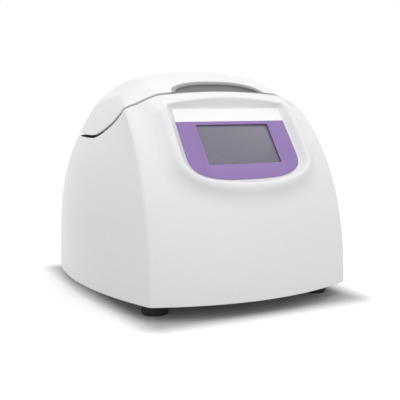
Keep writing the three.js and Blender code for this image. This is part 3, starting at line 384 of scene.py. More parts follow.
# Under the names of the record's slots, and two more
finishes = {
    "white_shell": moulded("whiteShell", (0.84, 0.84, 0.845), 0.32, 700, 0.05, 0.02, 0.15),
    "liner": moulded("linerPlastic", (0.36, 0.36, 0.365), 0.5, 900, 0.15),
    "grip": moulded("gripPlastic", (0.34, 0.34, 0.345), 0.42, 900, 0.15),
    "overlay": moulded("printedFilm", (0.29, 0.182, 0.455), 0.34, 1500, 0.03),
    "filmWhite": moulded("printedFilmWhite", (0.98, 0.98, 0.985), 0.34, 1500, 0.03),
    "display": moulded("displayGlass", (0.165, 0.153, 0.207), 0.22, 400, 0.0, 0.01, 0.2),
    "black_plastic": moulded("blackPlastic", (0.02, 0.02, 0.022), 0.45, 1200, 0.3),
    "rubber": moulded("footRubber", (0.012, 0.012, 0.012), 0.75, 1400, 0.5, 0.08),
    "sleeve": moulded("sleevePlastic", (0.03, 0.10, 0.32), 0.38, 1000, 0.1),
    "circuit_board": moulded("circuitBoard", (0.01, 0.09, 0.035), 0.35, 500, 0.1),
    "motor": moulded("motorPaint", (0.03, 0.03, 0.033), 0.45, 800, 0.4),
    "steel": brushed("brushedSteel", (0.62, 0.62, 0.63), 0.22, (1, 1, 14)),
    "spunSteel": brushed("spunSteel", (0.66, 0.66, 0.67), 0.24, (0.4, 0.4, 24), 0.06),
    "zinc_sheet": brushed("zincSheet", (0.55, 0.56, 0.57), 0.38, (6, 1, 1), 0.1),
    "rotor": brushed("rotorAluminium", (0.50, 0.51, 0.53), 0.3, (4, 4, 20)),
}
print("finishes made")


# Outer form of the case, as a distance that is negative inside
bodyShape = {
    "cornerHalf": 128.4, "cornerDraw": 8.0, "cornerPower": 2.4, "seamCornerRise": 208.3,
    "frontLean": 84.0, "frontShare": 0.606,
    "bow": 29.5, "bowTop": 20.0, "sideHalf": 157.7, "sideStart": 80.0, "sideDraw": 51.0, "sideSpan": 147.0,
    "sidePower": 1.95, "widestBack": 155.0, "rearBack": 328.5, "rearLean": 75.0, "rearShare": 0.7,
    "rearBow": 22.5, "rearCorner": 125.5, "rearCornerDraw": 13.3, "edgeBlend": 2.4,
    "rearBlend": 44.0, "ridge": 252.8, "ridgeBack": 142.4, "ridgeFall": 38.4, "ridgeFront": 78.0,
    "ridgeRear": 150.0, "ridgePower": 1.2, "ridgeSoft": 0.3, "crownFront": 6.0, "crownMiddle": 9.0,
    "humpHalf": 80.5, "slopeFront": 0.465, "slopeMiddle": 0.75, "topBlend": 1.2, "humpBlend": 1.2,
    "humpBack": 80.4,
}
console = {
    "footBack": 6.2, "footRise": 130.5, "tilt": math.radians(53), "half": 84.0, "flare": 4.0, "below": 13.0,
    "corner": 44.0, "faceLow": 5.0, "faceHigh": 8.0, "crown": 2.5, "top": 104.0, "topFall": 3.5, "topRun": 15.0,
    "depth": 60.0, "edgeBlend": 7.0, "blend": 24.0, "power": 2.5,
}
panel = {
    "power": 3.1, "taper": 1.5, "half": 73.0, "height": 96.4, "corner": 36.0, "margin": 2.0, "flare": 0.83,
    "arch": 9.0, "archDepth": 12.0, "topFlare": 3.6, "floorBlend": 2.2, "sideBlend": 3.0, "rimBlend": 2.2,
    "thickness": 0.8, "lift": 0.3, "header": 18.0, "endCorner": 1.5,
}


def softMax(a, b, blend):
    near = np.maximum(blend - np.abs(a - b), 0)
    return np.maximum(a, b) + near * near / (4 * blend)


def softMin(a, b, blend):
    return -softMax(-a, -b, blend)


def mixTo(a, b, share):
    return a + (b - a) * share


def lean(total, share, rise):
    t = np.maximum(rise, 0) / bodyShape["seamCornerRise"]
    return total * (share * t ** 2 + (1 - share) * t ** 4)


def leanSlope(total, share, rise):
    t = np.clip(rise / bodyShape["seamCornerRise"], 0, 1.1)
    return total * (2 * share * t + 4 * (1 - share) * t ** 3) / bodyShape["seamCornerRise"]


def panelCoords(back, rise):
    dy, dz = back - console["footBack"], rise - console["footRise"]
    c, s = math.cos(console["tilt"]), math.sin(console["tilt"])
    return dy * c + dz * s, dz * c - dy * s


def outlineDistance(x, up, half, corner, power):
    low = np.maximum(corner - up, 0)
    scale = ((x / half) ** power + (low / corner) ** power) ** (1 / power)
    return np.hypot(x, low) * (1 - 1 / np.maximum(scale, 1e-3))


def caseDistance(x, back, rise):
    s = bodyShape
    x = np.abs(x)
    t = np.clip(rise / s["seamCornerRise"], 0, 1)
    tFree = np.maximum(rise, 0) / s["seamCornerRise"]
    corner = s["cornerHalf"] - s["cornerDraw"] * tFree ** s["cornerPower"]
    frontBack = lean(s["frontLean"], s["frontShare"], rise)
    front = frontBack - mixTo(s["bow"], s["bowTop"], t) * (1 - (x / corner) ** 2) - back
    front = front / np.hypot(1, leanSlope(s["frontLean"], s["frontShare"], rise))
    rearLine = s["rearBack"] - lean(s["rearLean"], s["rearShare"], rise)
    rear = back - rearLine + s["rearBow"] * (x / s["cornerHalf"]) ** 2
    rear = rear / np.hypot(1, leanSlope(s["rearLean"], s["rearShare"], rise))
    drawn = np.maximum(rise - s["sideStart"], 0) / s["sideSpan"]
    half = s["sideHalf"] - s["sideDraw"] * drawn ** s["sidePower"]
    rearCorner = s["rearCorner"] - s["rearCornerDraw"] * tFree ** 2
    ahead = back < s["widestBack"]
    run = np.where(ahead, s["widestBack"] - frontBack, rearLine - s["rearBow"] - s["widestBack"])
    fall = np.maximum(half - np.where(ahead, corner, rearCorner), 0)
    side = x - half + fall * ((back - s["widestBack"]) / run) ** 2
    side = side / np.hypot(1, s["sideDraw"] * s["sidePower"] / s["sideSpan"] * drawn ** (s["sidePower"] - 1))
    walls = softMax(front, side, s["edgeBlend"])
    walls = softMax(walls, rear, s["rearBlend"])
    walls = softMin(walls, consoleDistance(x, back, rise), console["blend"])
    return softMax(walls, topDistance(x, back, rise), s["topBlend"])


def consoleDistance(x, back, rise):
    c = console
    up, out = panelCoords(back, rise)
    share = np.clip(up / c["top"], 0, 1.3)
    half = c["half"] + c["flare"] * up / c["top"]
    face = mixTo(c["faceLow"], c["faceHigh"], share) - c["crown"] * share * (x / half) ** 2
    face = face - c["topFall"] * (np.maximum(up - c["top"], 0) / c["topRun"]) ** 2
    edge = outlineDistance(x, up + c["below"], half, c["corner"], c["power"])
    return np.maximum(softMax(edge, out - face, c["edgeBlend"]), -out - c["depth"])


def topDistance(x, back, rise):
    s = bodyShape
    span = np.where(back < s["ridgeBack"], s["ridgeFront"], s["ridgeRear"])
    along = ((back - s["ridgeBack"]) / span) ** 2 + s["ridgeSoft"] ** 2
    ridge = s["ridge"] - s["ridgeFall"] * (along ** (s["ridgePower"] / 2) - s["ridgeSoft"] ** s["ridgePower"])
    share = np.clip((back - s["humpBack"]) / (s["ridgeBack"] - s["humpBack"]), 0, 1)
    crown = mixTo(s["crownFront"], s["crownMiddle"], share)
    slope = mixTo(s["slopeFront"], s["slopeMiddle"], share)
    hump = rise - ridge + crown * (x / s["humpHalf"]) ** 2
    shoulder = (rise - ridge + crown + slope * (x - s["humpHalf"])) / np.hypot(1, slope)
    return softMax(hump, shoulder, s["humpBlend"])


# The sunk console face: flat floor, walls that flare outwards, an arched top
def housingDistance(x, back, rise):
    p = panel
    up, out = panelCoords(back, rise)
    x = np.abs(x)
    opened = np.maximum(out, 0)
    tapered = x + p["taper"] * np.clip(up / p["height"], 0, 1.2)
    edge = outlineDistance(tapered, up + p["margin"], p["half"] + p["margin"], p["corner"] + p["margin"], p["power"])
    edge = (edge - p["flare"] * opened) / math.hypot(1, p["flare"])
    arch = p["arch"] * np.maximum(1 - (x / (p["half"] + p["margin"])) ** 2, 0) + p["topFlare"]
    top = up - p["height"] - p["margin"] - arch * opened / p["archDepth"]
    top = top / np.hypot(1, arch / p["archDepth"])
    sunk = softMax(softMax(edge, top, p["sideBlend"]), -out, p["floorBlend"])
    return softMax(caseDistance(x, back, rise), -sunk, p["rimBlend"])


def insideHousing(x, back, rise):
    up, out = panelCoords(back, rise)
    return np.maximum(caseDistance(x, back, rise) + shell["wall"], out + shell["wall"])


# Seam between housing and lid, seen from the side: back of the lid's edge at each rise
seam = {"back": [148, 137, 126, 115, 104.5, 95, 86.1, 80.4, 75.0],
        "rise": [173, 174.0, 177.6, 183.2, 190.2, 198.0, 208.0, 221.5, 229.0], "gap": 3.0, "gapSide": 3.4}
shell = {"wall": 3.0, "lip": 0.5, "foot": 1.6, "lipSteps": 4}


def lidSide(back, rise, gap):
    ahead = back - gap - np.interp(rise - gap, seam["rise"], seam["back"])
    return np.minimum(ahead, rise - gap - seam["rise"][0])


# Halves the way from low to high until it has the place where held turns false
def findTurn(held, low, high, rounds):
    for _ in range(rounds):
        middle = (low + high) / 2
        still = held(middle)
        low, high = np.where(still, middle, low), np.where(still, high, middle)
    return low, high


# Casts rays from start points to where they leave the form
def castTo(distance, start, way, far=260.0):
    def inside(reach):
        p = start + way * reach[..., None]
        return distance(p[..., 0], p[..., 1], p[..., 2]) < 0
    near = np.zeros(start.shape[:-1])
    return start + way * findTurn(inside, near, near + far, 34)[0][..., None]


# Column layout of the housing: straight rays at front and rear, fans round the two sides. The fans close up
# towards the upright front edge and turn with it, so that the edge is a line of the mesh.
housingGrid = {"half": 90.0, "back": 190.0, "frontStep": 0.95, "rearColumns": 30, "fineAngle": 0.22,
               "coarseAngle": 1.9, "angleGrowth": 1.2, "rows": [(0.5, 26), (0.7, 84), (1.0, 66)],
               "turnRise": 150.0, "perDegree": 2.6, "edgeTop": 235.0, "lowestSeam": 100.0, "steepest": 75.0,
               "innerRows": 14}


def edgeHeadings():
    g, s = housingGrid, bodyShape
    rise = np.linspace(0, g["edgeTop"], 200)
    t = rise / s["seamCornerRise"]
    across = s["cornerHalf"] - s["cornerDraw"] * t ** s["cornerPower"] - g["half"]
    ahead = g["back"] - lean(s["frontLean"], s["frontShare"], rise)
    climb = np.degrees(np.arctan2(rise - g["turnRise"], np.hypot(across, ahead)))
    way = np.where(rise < g["turnRise"], rise, g["turnRise"] + g["perDegree"] * climb)
    return way, np.arctan2(across, ahead)


edgeWay, edgeHeading = edgeHeadings()


def fanAngles():
    g = housingGrid
    middle = math.degrees(edgeHeading[0])
    ahead, behind = [], []
    for found, end, sign in ((ahead, 0.0, -1), (behind, 180.0, 1)):
        angle, step = middle, g["fineAngle"]
        while abs(end - angle) > 1.5 * step:
            angle += sign * step
            found.append(angle)
            step = min(step * g["angleGrowth"], g["coarseAngle"])
    return np.radians(ahead[::-1] + [middle] + behind)


def housingColumns():
    g = housingGrid
    frontX = np.linspace(-g["half"], g["half"], int(2 * g["half"] / g["frontStep"]) + 1)
    angle = fanAngles()
    rearX = np.linspace(g["half"], -g["half"], g["rearColumns"] + 1)
    x = np.concatenate([frontX, np.full(len(angle), g["half"]), rearX, np.full(len(angle), -g["half"])])
    heading = np.concatenate([0 * frontX, angle, 0 * rearX + math.pi, 2 * math.pi - angle[::-1]])
    first = edgeHeading[0]
    follow = np.where(angle < first, angle / first, (math.pi - angle) / (math.pi - first))
    follow = np.concatenate([0 * frontX, follow, 0 * rearX, -follow[::-1]])
    return x, heading, follow


def rayPoints(distance, columns, way):
    g = housingGrid
    x, heading, follow = (np.broadcast_to(c, way.shape) for c in columns)
    heading = heading + follow * (np.interp(way, edgeWay, edgeHeading) - edgeHeading[0])
    climb = np.radians(np.maximum(way - g["turnRise"], 0) / g["perDegree"])
    start = np.stack([x, np.full(way.shape, g["back"]), np.minimum(way, g["turnRise"])], -1)
    aim = np.stack([np.sin(heading) * np.cos(climb), -np.cos(heading) * np.cos(climb), np.sin(climb)], -1)
    return castTo(distance, start, aim)


def seamWay(distance, columns):
    g = housingGrid

    def below(way):
        p = rayPoints(distance, columns, way)
        return lidSide(p[..., 1], p[..., 2], 0.0) < 0
    low = np.full(len(columns[0]), g["lowestSeam"])
    return findTurn(below, low, 0 * low + g["turnRise"] + g["perDegree"] * g["steepest"], 26)[0]


def roundCorner(before, corner, after, radius, steps):
    def toward(p):
        step = p - corner
        return corner + step * np.minimum(1, radius / np.maximum(np.linalg.norm(step, axis=-1), 1e-6))[..., None]
    first, last = toward(before), toward(after)
    t = np.linspace(0, 1, steps + 2)[:, None, None]
    return (1 - t) ** 2 * first + 2 * t * (1 - t) * corner + t ** 2 * last


def buildHousing():
    g = housingGrid
    columns = housingColumns()
    share, done = [0.0], 0.0
    for stop, count in g["rows"]:
        share += list(np.linspace(done, stop, count + 1)[1:])
        done = stop
    outer = rayPoints(housingDistance, columns, np.array(share)[:, None] * seamWay(housingDistance, columns))
    shareIn = np.linspace(1, 0, g["innerRows"] + 1)[:, None]
    inner = rayPoints(insideHousing, columns, shareIn * seamWay(insideHousing, columns))
    lip = roundCorner(outer[-2], outer[-1], inner[0], shell["lip"], shell["lipSteps"])
    foot = roundCorner(inner[-1], outer[0], outer[1], shell["foot"], shell["lipSteps"])
    return sheetMesh("housing", [*foot[1:], *outer[1:-1], *lip, *inner])


def readAll(items, attribute, width=3, kind=float):
    values = np.empty(len(items) * width, dtype=kind)
    items.foreach_get(attribute, values)
    return values.reshape(-1, width)


# Exact normals from the distance, on every face that lies on the outer form
def shadeByForm(obj, distance, angle=30, tolerance=0.12, step=0.15):
    shadeByAngle(obj)
    mesh = obj.data
    points = readAll(mesh.vertices, "co") / mm - spot(0, 0, 0)
    normal = np.stack([distance(*(points + way).T) - distance(*(points - way).T) for way in step * np.eye(3)], -1)
    normal /= np.maximum(np.linalg.norm(normal, axis=1), 1e-9)[:, None]
    onForm = np.abs(distance(*points.T)) < tolerance
    vertexOf = readAll(mesh.loops, "vertex_index", 1, np.int32)[:, 0]
    sides = readAll(mesh.polygons, "loop_total", 1, np.int32)[:, 0]
    faceNormal = np.repeat(readAll(mesh.polygons, "normal"), sides, axis=0)
    exact = normal[vertexOf]
    agree = (np.sum(exact * faceNormal, axis=1) > math.cos(math.radians(angle))) & onForm[vertexOf]
    normals = np.where(agree[:, None], exact, readAll(mesh.corner_normals, "vector"))
    mesh.normals_split_custom_set([tuple(n) for n in normals])


def panelPoint(x, up, out):
    c, s = math.cos(console["tilt"]), math.sin(console["tilt"])
    back = console["footBack"] + up * c - out * s
    rise = console["footRise"] + up * s + out * c
    return toWorld(np.asarray(x, float), back, rise)


def panelPrism(name, outline, low, high):
    return loftRings(name, [[panelPoint(x, up, out) for x, up in outline] for out in (low, high)])


# The display's rectangle on the console, grown on every side
def screenOutline(grow):
    half, low, high = screen["width"] / 2 + grow, screen["foot"] - grow, screen["foot"] + screen["height"] + grow
    return [(-half, low), (half, low), (half, high), (-half, high)]


screen = {"width": 95.04, "height": 53.86, "foot": 20.0, "lap": 1.2, "fit": 0.3, "sink": 0.4, "thickness": 2.2,
          "cut": (-8, 6), "filmCut": (-3, 4)}

# Pocket in the rear wall: a rounded box with its own walls and floor
pocket = {"half": 66.0, "foot": 10.0, "top": 74.0, "floor": 306.0, "wall": 3.0, "corner": 5.0, "rim": 1.0,
          "cove": 1.2, "coveShare": 0.3, "inside": 200.0, "reach": 200.0, "behind": 340.0}


def pocketOutline(grow=0.0):
    p = pocket
    corner, reach = p["corner"] + grow, p["half"] - p["corner"]
    points = []
    for cx, cz, start in ((1, 1, 0), (-1, 1, 90), (-1, -1, 180), (1, -1, 270)):
        middleZ = (p["top"] - p["corner"]) if cz > 0 else (p["foot"] + p["corner"])
        for i in range(9):
            angle = math.radians(start + i * 90 / 8)
            points.append((cx * reach + corner * math.cos(angle), middleZ + corner * math.sin(angle)))
        if cz * cx > 0:
            points += [(cz * mixTo(reach, -reach, share), middleZ + cz * corner) for share in (0.2, 0.4, 0.6, 0.8)]
    return np.array(points)


def pocketRing(grow, depth=None, back=None):
    x, rise = pocketOutline(grow).T
    if back is None:
        start = np.stack([x, 0 * x + pocket["inside"], rise], -1)
        back = castTo(caseDistance, start, np.array([0.0, 1.0, 0.0]) + 0 * start, pocket["reach"])[:, 1] - depth
    return toWorld(x, back, rise)


rear = {"inlet": (-42.0, 47.0, 28.0, 22.0), "fuse": (-42.0, 24.0, 22.0, 12.0), "rocker": (-8.0, 41.0, 14.5, 26.5),
        "fan": (34.0, 42.0, 26.0), "fit": 0.3, "through": 12.0}


def pocketHoles():
    for x, rise, width, height in (rear["inlet"], rear["fuse"], rear["rocker"]):
        yield addBox("holeTool", (width + 2 * rear["fit"], rear["through"], height + 2 * rear["fit"]),
                     spot(x, pocket["floor"], rise))
    x, rise, radius = rear["fan"]
    yield addRod("boreTool", radius, rear["through"] + 2, spot(x, pocket["floor"], rise), "Y", 96)


def buildPocket(housing):
    p = pocket
    floor, rim, cove, wallEnd = p["floor"], p["rim"], p["cove"], p["wall"] - 0.1
    step = p["coveShare"] * cove
    cutAway(housing, loftRings("pocketTool", [
        pocketRing(0, back=floor - p["wall"] - 1), pocketRing(0, depth=rim), pocketRing(rim, depth=0),
        pocketRing(2 * rim, depth=-1), pocketRing(2 * rim, back=p["behind"])]))
    box = loftRings("pocketBox", [
        pocketRing(p["wall"], back=floor - p["wall"]), pocketRing(p["wall"], depth=wallEnd),
        pocketRing(0, depth=wallEnd), pocketRing(0, back=floor + cove),
        pocketRing(-step, back=floor + step), pocketRing(-cove, back=floor)])
    cutAway(box, *pocketHoles())
    finishPiece(box, "base", "white_shell", shade=40)


housing = buildHousing()
cutAway(housing, panelPrism("windowTool", screenOutline(screen["lap"] + screen["fit"]), *screen["cut"]))
buildPocket(housing)
shadeByForm(housing, housingDistance)
carry(housing, "housing_shell", "white_shell")
print("housing made", len(housing.data.polygons))

# Lid, cast from a point inside it, edge to edge with the housing
lidGrid = {"back": 165.0, "rise": 150.0, "columns": 600, "rows": 108, "innerRows": 16, "top": 89.3,
           "crowding": 0.35, "gapFrom": 110.0, "gapRun": 45.0}


def insideLid(x, back, rise):
    return caseDistance(x, back, rise) + shell["wall"]


def lidGap(back):
    return mixTo(seam["gap"], seam["gapSide"], np.clip((back - lidGrid["gapFrom"]) / lidGrid["gapRun"], 0, 1))


def lidPoints(distance, columns, climb):
    g = lidGrid
    dx, dy = (np.broadcast_to(c, climb.shape) for c in columns)
    start = np.stack([0 * climb, 0 * climb + g["back"], 0 * climb + g["rise"]], -1)
    return castTo(distance, start, np.stack([dx * np.cos(climb), dy * np.cos(climb), np.sin(climb)], -1))


def lidEdge(distance, columns):
    def below(climb):
        p = lidPoints(distance, columns, climb)
        return lidSide(p[..., 1], p[..., 2], lidGap(p[..., 1])) <= 0
    low = np.zeros(len(columns[0]))
    return findTurn(below, low, low + math.radians(lidGrid["top"]), 28)[1]


def buildLid():
    g = lidGrid
    turn = np.arange(g["columns"]) / g["columns"] * 2 * math.pi
    angle = turn - g["crowding"] * np.sin(turn)
    columns = (np.sin(angle), -np.cos(angle))
    top = math.radians(g["top"])

    def surface(distance, share):
        return lidPoints(distance, columns, top + (lidEdge(distance, columns) - top) * share[:, None])
    outer = surface(caseDistance, np.linspace(0, 1, g["rows"] + 1))
    inner = surface(insideLid, np.linspace(1, 0, g["innerRows"] + 1))
    lip = roundCorner(outer[-2], outer[-1], inner[0], shell["lip"], shell["lipSteps"])
    obj = sheetMesh("lid", [*outer[:-1], *lip, *inner], wrap=False)
    closeHole(obj)
    return obj


def surfaceRise(x, back):
    start = np.stack([x, back, 0 * x + grip["castFrom"]], -1)
    return castTo(caseDistance, start, np.array([0.0, 0.0, 1.0]) + 0 * start, grip["castReach"])[..., 2]


# Finger grip set into the lid's front edge: a rounded lip over an undercut pocket
grip = {"half": 61.6, "depth": 25.0, "power": 3.2, "front": 75.0, "cut": 0.3, "foot": 221.0, "arcSteps": 72,
        "frontSteps": 20, "frontDrop": 3.0, "dropBack": 81.5, "dropRun": 4.0, "edgeGap": 0.2, "toolTop": 290.0,
        "castFrom": 170.0, "castReach": 120.0,
        "lip": [(0.1, -1.4), (0.1, -0.7), (0.3, -0.2), (0.8, 0.05), (2.4, 0.05), (3.2, -0.15), (3.8, -0.7),
                (4.05, -1.4), (3.9, -2.2), (3.3, -2.9), (2.2, -3.3), (1.5, -4.6)],
        "bowl": [(1.6, 227.4), (2.2, 226.2), (3.4, 225.4)]}


def gripOutline(shrink, frontShift=0.0):
    g = grip
    angle = np.linspace(0, math.pi, g["arcSteps"] + 1)
    half, depth = g["half"] - shrink, g["depth"] - shrink
    x = -half * np.sign(np.cos(angle)) * np.abs(np.cos(angle)) ** (2 / g["power"])
    back = g["front"] + depth * np.abs(np.sin(angle)) ** (2 / g["power"])
    back = np.maximum(back, g["front"] + seam["gap"] + g["edgeGap"] + frontShift)
    line = np.linspace(1, -1, g["frontSteps"] + 2)[1:-1] * half
    return np.concatenate([x, line]), np.concatenate([back, 0 * line + back.min()])


def gripRing(shrink, drop=None, rise=None):
    x, back = gripOutline(shrink, shrink * 0.4)
    if rise is None:
        ahead = np.clip((grip["dropBack"] - back) / grip["dropRun"], 0, 1)
        rise = surfaceRise(x, back) + drop - grip["frontDrop"] * ahead
    return toWorld(x, back, rise)


def buildGrip():
    rings = [gripRing(0.1, rise=grip["foot"])]
    rings += [gripRing(shrink, drop) for shrink, drop in grip["lip"]]
    rings += [gripRing(shrink, rise=rise) for shrink, rise in grip["bowl"]]
    carry(loftRings("gripInsert", rings), "grip_insert", "grip", shade=50)


lid = buildLid()
gripX, gripBack = gripOutline(-grip["cut"], -30.0)
cutAway(lid, loftRings("gripTool", [
    toWorld(gripX, gripBack, rise) for rise in (grip["foot"] - 4, grip["toolTop"])]))
shadeByForm(lid, caseDistance)
carry(lid, "lid_shell", "white_shell")
buildGrip()
print("lid made")


# Film on the console and the display behind its window
def filmOutline():
    p = panel
    half, corner, radius = p["half"], p["corner"], p["endCorner"]
    points = []
    for i in range(97):
        angle = math.pi * i / 96
        c = math.cos(angle)
        points.append((-half * math.copysign(abs(c) ** (2 / p["power"]), c),
                       corner - corner * math.sin(angle) ** (2 / p["power"])))
    for sign in (1, -1):
        for i in range(7):
            angle = math.pi / 2 * (i / 6 if sign > 0 else 1 - i / 6)
            points.append((sign * (half - radius + radius * math.cos(angle)),
                           p["height"] - radius + radius * math.sin(angle)))
    return [(x - math.copysign(p["taper"] * up / p["height"], x), up) for x, up in points]


def buildFilm():
    film = panelPrism("controlFilm", filmOutline(), panel["lift"], panel["lift"] + panel["thickness"])
    cutAway(film, panelPrism("filmWindow", screenOutline(0), *screen["filmCut"]))
    bevelEdges(film, 0.18, 2, 50)
    line = Vector(panelPoint(0, panel["height"] - panel["header"], 0))
    upward = Vector((0, math.cos(console["tilt"]), math.sin(console["tilt"])))
    editMesh(film, (ops.bisect, {"plane_co": line, "plane_no": upward}))
    carry(film, "control_overlay", "overlay", shade=40)
    film.data.materials.append(finishes["filmWhite"])
    for face in film.data.polygons:
        face.material_index = 1 if (face.center - line).dot(upward) > 0 else 0


def buildDisplay():
    glass = panelPrism("displayGlass", screenOutline(screen["lap"]), -screen["sink"] - screen["thickness"],
                       -screen["sink"])
    bevelEdges(glass, 0.25, 2)
    carry(glass, "display_screen", "display", shade=40)


buildFilm()
buildDisplay()
print("console made")

# Rubber feet
footShape = {"radius": 15.0, "waist": 13.5, "top": 17.7, "hole": [(0, 5.0), (3.6, 5.0), (3.6, 2.4), (5.0, 1.4),
                                                                 (7.5, 1.4), (8.0, 0.9), (8.6, 0.0)],
             "places": {"foot_front_left": (-108.0, 33.0), "foot_front_right": (108.0, 33.0),
                        "foot_rear_left": (-103.0, 275.0), "foot_rear_right": (103.0, 275.0)}}


def buildFoot(node, x, back):
    f = footShape
    radius, waist, top = f["radius"], f["waist"], f["top"]
    outline = [*f["hole"], (radius - 1.6, 0), (radius - 0.5, 0.5), (radius, 1.6), (radius - 0.1, 4.5),
               (waist + 0.25, top - 3.2), (waist, top - 2.0), (waist - 0.4, top - 0.4), (waist - 0.9, top), (0, top)]
    foot = spinOutline("foot", outline, (x, back + place["frontCornerY"], 0), 64)
    carry(foot, node, "rubber", shade=40)


for node, position in footShape["places"].items():
    buildFoot(node, *position)
print("feet made")

# Chamber: deck, bowl and seal
deck = {"rise": 168.0, "thickness": 2.5, "foot": 98.0, "top": (80.7, 217.0), "fillet": 8.0, "fit": 0.3,
        "hole": 76.3, "columns": 200, "rows": 30}
lock = {"x": 84.0, "back": 114.0, "strikeThickness": 3.0, "strikeWidth": 13.0, "slotGap": 2.6, "slotDepth": 12}


def slopedRise(sheet, level, foot, back):
    steep = (sheet["top"][1] - level) / (foot - sheet["top"][0])
    return softMax(level + 0 * back, level + (foot - back) * steep, sheet["fillet"])


# Rings of a sheet's upper and lower face, from start out to where edgeDistance ends it
def sheetRings(heightAt, edgeDistance, start, sheet, step=0.2):
    angle = np.arange(sheet["columns"]) / sheet["columns"] * 2 * math.pi
    way = np.stack([np.sin(angle), -np.cos(angle), 0 * angle], -1)
    origin = np.array([0.0, place["chamberBack"], 0.0]) + 0 * way
    reach = np.linalg.norm(castTo(edgeDistance, origin, way) - origin, axis=-1)
    top, bottom = [], []
    for share in np.linspace(0, 1, sheet["rows"] + 1):
        x, back = (origin + way * mixTo(start, reach, share)[:, None])[:, :2].T
        rise = heightAt(x, back)
        slope = (heightAt(x, back + step) - heightAt(x, back - step)) / (2 * step)
        down = sheet["thickness"] / np.hypot(1, slope)
        top.append(np.stack([x, back, rise], -1))
        bottom.append(np.stack([x, back + down * slope, rise - down], -1))
    return top + bottom[::-1]


def buildDeck():
    d = deck

    def heightAt(x, back):
        return slopedRise(d, d["rise"], d["foot"], back)

    def edge(x, back, rise):
        return np.maximum(caseDistance(x, back, heightAt(x, back)) + shell["wall"] + d["fit"], d["top"][0] - back)
    obj = sheetMesh("innerDeck", sheetRings(heightAt, edge, d["hole"], d))
    faceOutside(obj)
    width, depth = (lock[key] + 2 * lock["slotGap"] for key in ("strikeThickness", "strikeWidth"))
    for sign in (-1, 1):
        slot = addBox("slotTool", (width, depth, lock["slotDepth"]), spot(sign * lock["x"], lock["back"], d["rise"]))
        bevelEdges(slot, 1.5, 4, 30)
        cutAway(obj, slot)
    bevelEdges(obj, 0.4, 2, 50)
    carry(obj, "inner_deck", "liner", shade=40)


# The seal's outline is (out from the flange, rise)
bowl = {"radius": 76.0, "wall": 1.2, "floor": 82.0, "hole": 15.0, "flange": 82.0, "seat": 168.3,
        "outerRound": 6.0, "innerRound": 5.0,
        "seal": [(0.3, 168.4), (4.9, 168.4), (4.9, 171.0), (3.4, 173.2), (1.8, 173.2), (0.3, 171.0), (0.3, 168.4)]}


def buildBowl():
    b = bowl
    inner, foot, middle, lip = b["radius"] - b["wall"], b["floor"], b["seat"] + b["wall"] / 2, b["seat"] + b["wall"]
    outside = roundOutline([(b["hole"], foot), (b["radius"], foot), (b["radius"], b["seat"]),
                            (b["flange"], b["seat"]), (b["flange"], middle)], b["outerRound"], 8)
    inside = roundOutline([(b["flange"], middle), (b["flange"], lip), (inner, lip),
                           (inner, foot + b["wall"]), (b["hole"], foot + b["wall"])], b["innerRound"], 8)
    obj = spinOutline("chamberBowl", outside + inside[1:], onSpindle(), 160, closed=True)
    carry(obj, "chamber_bowl", "steel", "spunSteel", 40)
    seal = roundOutline([(b["flange"] + out, rise) for out, rise in b["seal"]], 1.2, 4)
    carry(spinOutline("chamberGasket", seal, onSpindle(), 160), "chamber_gasket", "rubber", shade=40)


buildDeck()
buildBowl()
print("chamber made")

# Rotor, sleeves and nut
# The sleeve's outlines are (share of the radius, rise above its foot)
rotor = {"tubes": 8, "tilt": 28.0, "bore": 9.5, "topRadius": 26.5, "topRise": 158.0, "sleeve": 9.2, "wall": 0.9,
         "length": 72.0, "drill": 170, "rim": 1.2, "rimThickness": 2.0, "outline": [
             (5.3, 99.3), (13, 99.3), (13, 96), (70, 96), (70, 108), (45, 143), (19, 143), (13, 128), (5.3, 128),
             (5.3, 99.3)],
         "sleeveFoot": [(0, 0), (0.5, 0.6), (0.82, 3.2), (0.96, 6.8), (1, 10.5)],
         "sleeveBowl": [(1, 10.5), (0.95, 7.6), (0.8, 4.4), (0.5, 2.0), (0, 1.5)],
         "round": 2.2, "numberSize": 8.0, "numberRadius": 59.5}


def slanted(obj, index):
    turn = Matrix.Rotation(2 * math.pi * (index + 0.5) / rotor["tubes"], 4, "Z")
    tip = Matrix.Rotation(math.radians(rotor["tilt"]), 4, "Y")
    obj.data.transform(moveTo(onSpindle(rotor["topRise"])) @ turn @ moveTo((-rotor["topRadius"], 0, 0)) @ tip)
    return obj


def buildRotor():
    r = rotor
    outline = roundOutline(r["outline"][:-1], r["round"], 6) + r["outline"][-1:]
    head = spinOutline("rotorHead", outline, onSpindle(), 160)
    for i in range(r["tubes"]):
        cutAway(head, slanted(addRod("boreTool", r["bore"], r["drill"], (0, 0, -r["length"] / 2), "Z", 56), i))
    bevelEdges(head, 0.5, 2, 40)
    carry(head, "rotor_head", "rotor", shade=30)


def sleeveMesh():
    r = rotor
    out, inn, low = r["sleeve"], r["sleeve"] - r["wall"], -r["length"]
    rim, lip = out + r["rim"], r["rimThickness"]
    outline = [*((out * share, low + rise) for share, rise in r["sleeveFoot"]),
               (out, -lip - 0.5), (rim - 0.4, -lip), (rim, -lip + 0.5), (rim, -0.5), (rim - 0.5, 0), (inn + 0.5, 0),
               (inn, -0.6), *((inn * share, low + rise) for share, rise in r["sleeveBowl"])]
    return spinOutline("tubeSleeve1", outline, (0, 0, 0), 56)


def buildSleeves():
    first = sleeveMesh()
    shadeByAngle(first, 35)
    copies = [first] + [addObject(f"tubeSleeve{i}", first.data.copy()) for i in range(2, rotor["tubes"] + 1)]
    for i, sleeve in enumerate(copies):
        carry(slanted(sleeve, i), f"tube_sleeve_{i + 1}", "sleeve")


